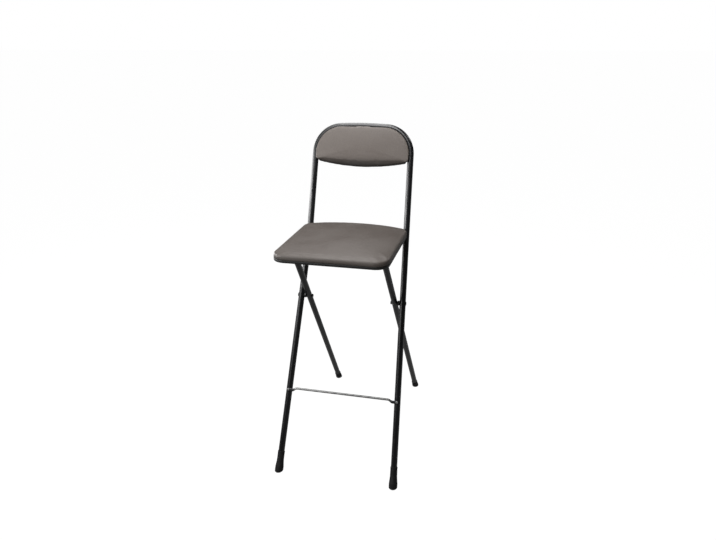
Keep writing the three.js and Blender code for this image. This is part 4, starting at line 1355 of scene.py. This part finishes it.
for side_name, side in sides.items():
    for row_name, (x, y) in tabs.items():
        shape = bmesh.new()
        faces = [[Vector((p.x, p.y, z)) for p in tab_outline()] for z in (tab_rear, tab_front)]
        skin(shape, faces, capped=True)
        tab = to_object(f"back_lug_{side_name}_{row_name}", shape)
        hole = rod_shape(Vector((0, 0, tab_rear - overrun)), Vector((0, 0, tab_front + overrun)),
                         board_screw["shank"] + piece_gap)
        carve(tab, [hole])
        outward = Vector((0, 1)) if row_name == "upper" else Vector((side, 0))
        turn = Matrix.Rotation(math.atan2(outward.y, outward.x), 4, "Z")
        tab.matrix_world = back_plane @ Matrix.Translation((side * x, y, 0)) @ turn
        dress(tab, "front", frame_coating, [f"back_tab_{side_name}_{row_name}"])
        place_screw(f"back_panhead_{side_name}_{row_name}", back_screw_mesh,
                    back_plane @ Matrix.Translation((side * x, y, tab_rear - piece_gap)), "front",
                    f"back_screw_{side_name}_{row_name}")


# Back cushion
# The same vinyl over thinner foam on the front of the back board. Its edge follows round the tube and laps
# over the tube's front; below, it hangs free in a full round that is fattest in the middle.
back_pad_low = back_rear + back_thickness + piece_gap
back_lap, back_roll, back_crown = 74 * degree, 2.2 * mm, 4 * mm
lap_steps, roll_steps = 6, 8
back_start_in, back_start_down = 0.3 * mm, 0.6 * mm
back_swell, back_voxel = 0.8 * mm, 3 * mm
back_cut_depth = 4 * mm
fat_end, fat_middle, free_overhang = -2.5 * mm, 40 * mm, 7.6 * mm
free_slant, free_crown_share = 84 * degree, 0.75
free_turn_low, free_turn_high = 0.5, 0.98
# The back's copy of the vinyl is darkened by this factor as painted shade.
back_painted_shade = 0.97
# How far below and above the board's lowest point the painted shade on the back cushion's lower edge
# reaches.
painted_shade_below, painted_shade_above = 3 * mm, 26 * mm

wrap_radius = tube_radius + back_fit
roll_centre = Vector((math.cos(back_lap), math.sin(back_lap))) * (wrap_radius + back_roll)
lap_arc = arc(0, 0, wrap_radius, math.asin(back_pad_low / wrap_radius), back_lap, lap_steps)
roll_arc = arc(roll_centre.x, roll_centre.y, back_roll, back_lap + math.pi, math.pi / 2, roll_steps)
lap_side = [Vector((p.x - wrap_radius, p.y)) for p in lap_arc + roll_arc[1:]]
back_top = roll_centre.y + back_roll + back_crown
shoulder_height = roll_centre.y + back_roll


def free_side(fat, rise):
    """The lower edge's side: one long curve from the board's face up to the pad's front."""
    steps = len(lap_side) - 1
    width, height = fat + free_overhang, shoulder_height + rise - back_pad_low
    rows = []
    for i in range(steps + 1):
        slant = free_slant * (1 - i / steps)
        rows.append(Vector((
            fat - width * math.sin(slant) / math.sin(free_slant),
            back_pad_low + height * (math.cos(slant) - math.cos(free_slant)) / (1 - math.cos(free_slant)),
        )))
    return rows


back_sides = []
for point, way in zip(back_rim, inward_ways(back_rim)):
    fullness = 1 - (point.x / back_half) ** 2
    free = eased((way.y - free_turn_low) / (free_turn_high - free_turn_low))
    fat = fat_end + (fat_middle - fat_end) * fullness
    low_side = free_side(fat, back_crown * free_crown_share * fullness)
    rows = [lap.lerp(low_edge, free) for lap, low_edge in zip(lap_side, low_side)]
    rows = [(row.x + back_start_in, row.y) for row in rows]
    rows[0] = (rows[0][0], back_pad_low - back_cut_depth)
    back_sides.append(rows)

# Painted shade darkens the back cushion's vinyl towards its lower edge.
painted_shade_span = (back_middle_low - painted_shade_below, back_middle_low + painted_shade_above)
back_vinyl = taupe_vinyl("back_vinyl", back_painted_shade, painted_shade_span)
back_pad = to_object("back_pad_vinyl", pad_shape(back_rim, back_sides, back_top - back_start_down))
foam_push(back_pad, back_pad_low, back_swell, back_voxel)
back_pad.matrix_world = back_plane
dress(back_pad, "front", back_vinyl, ["back_cushion"], soft_shade)
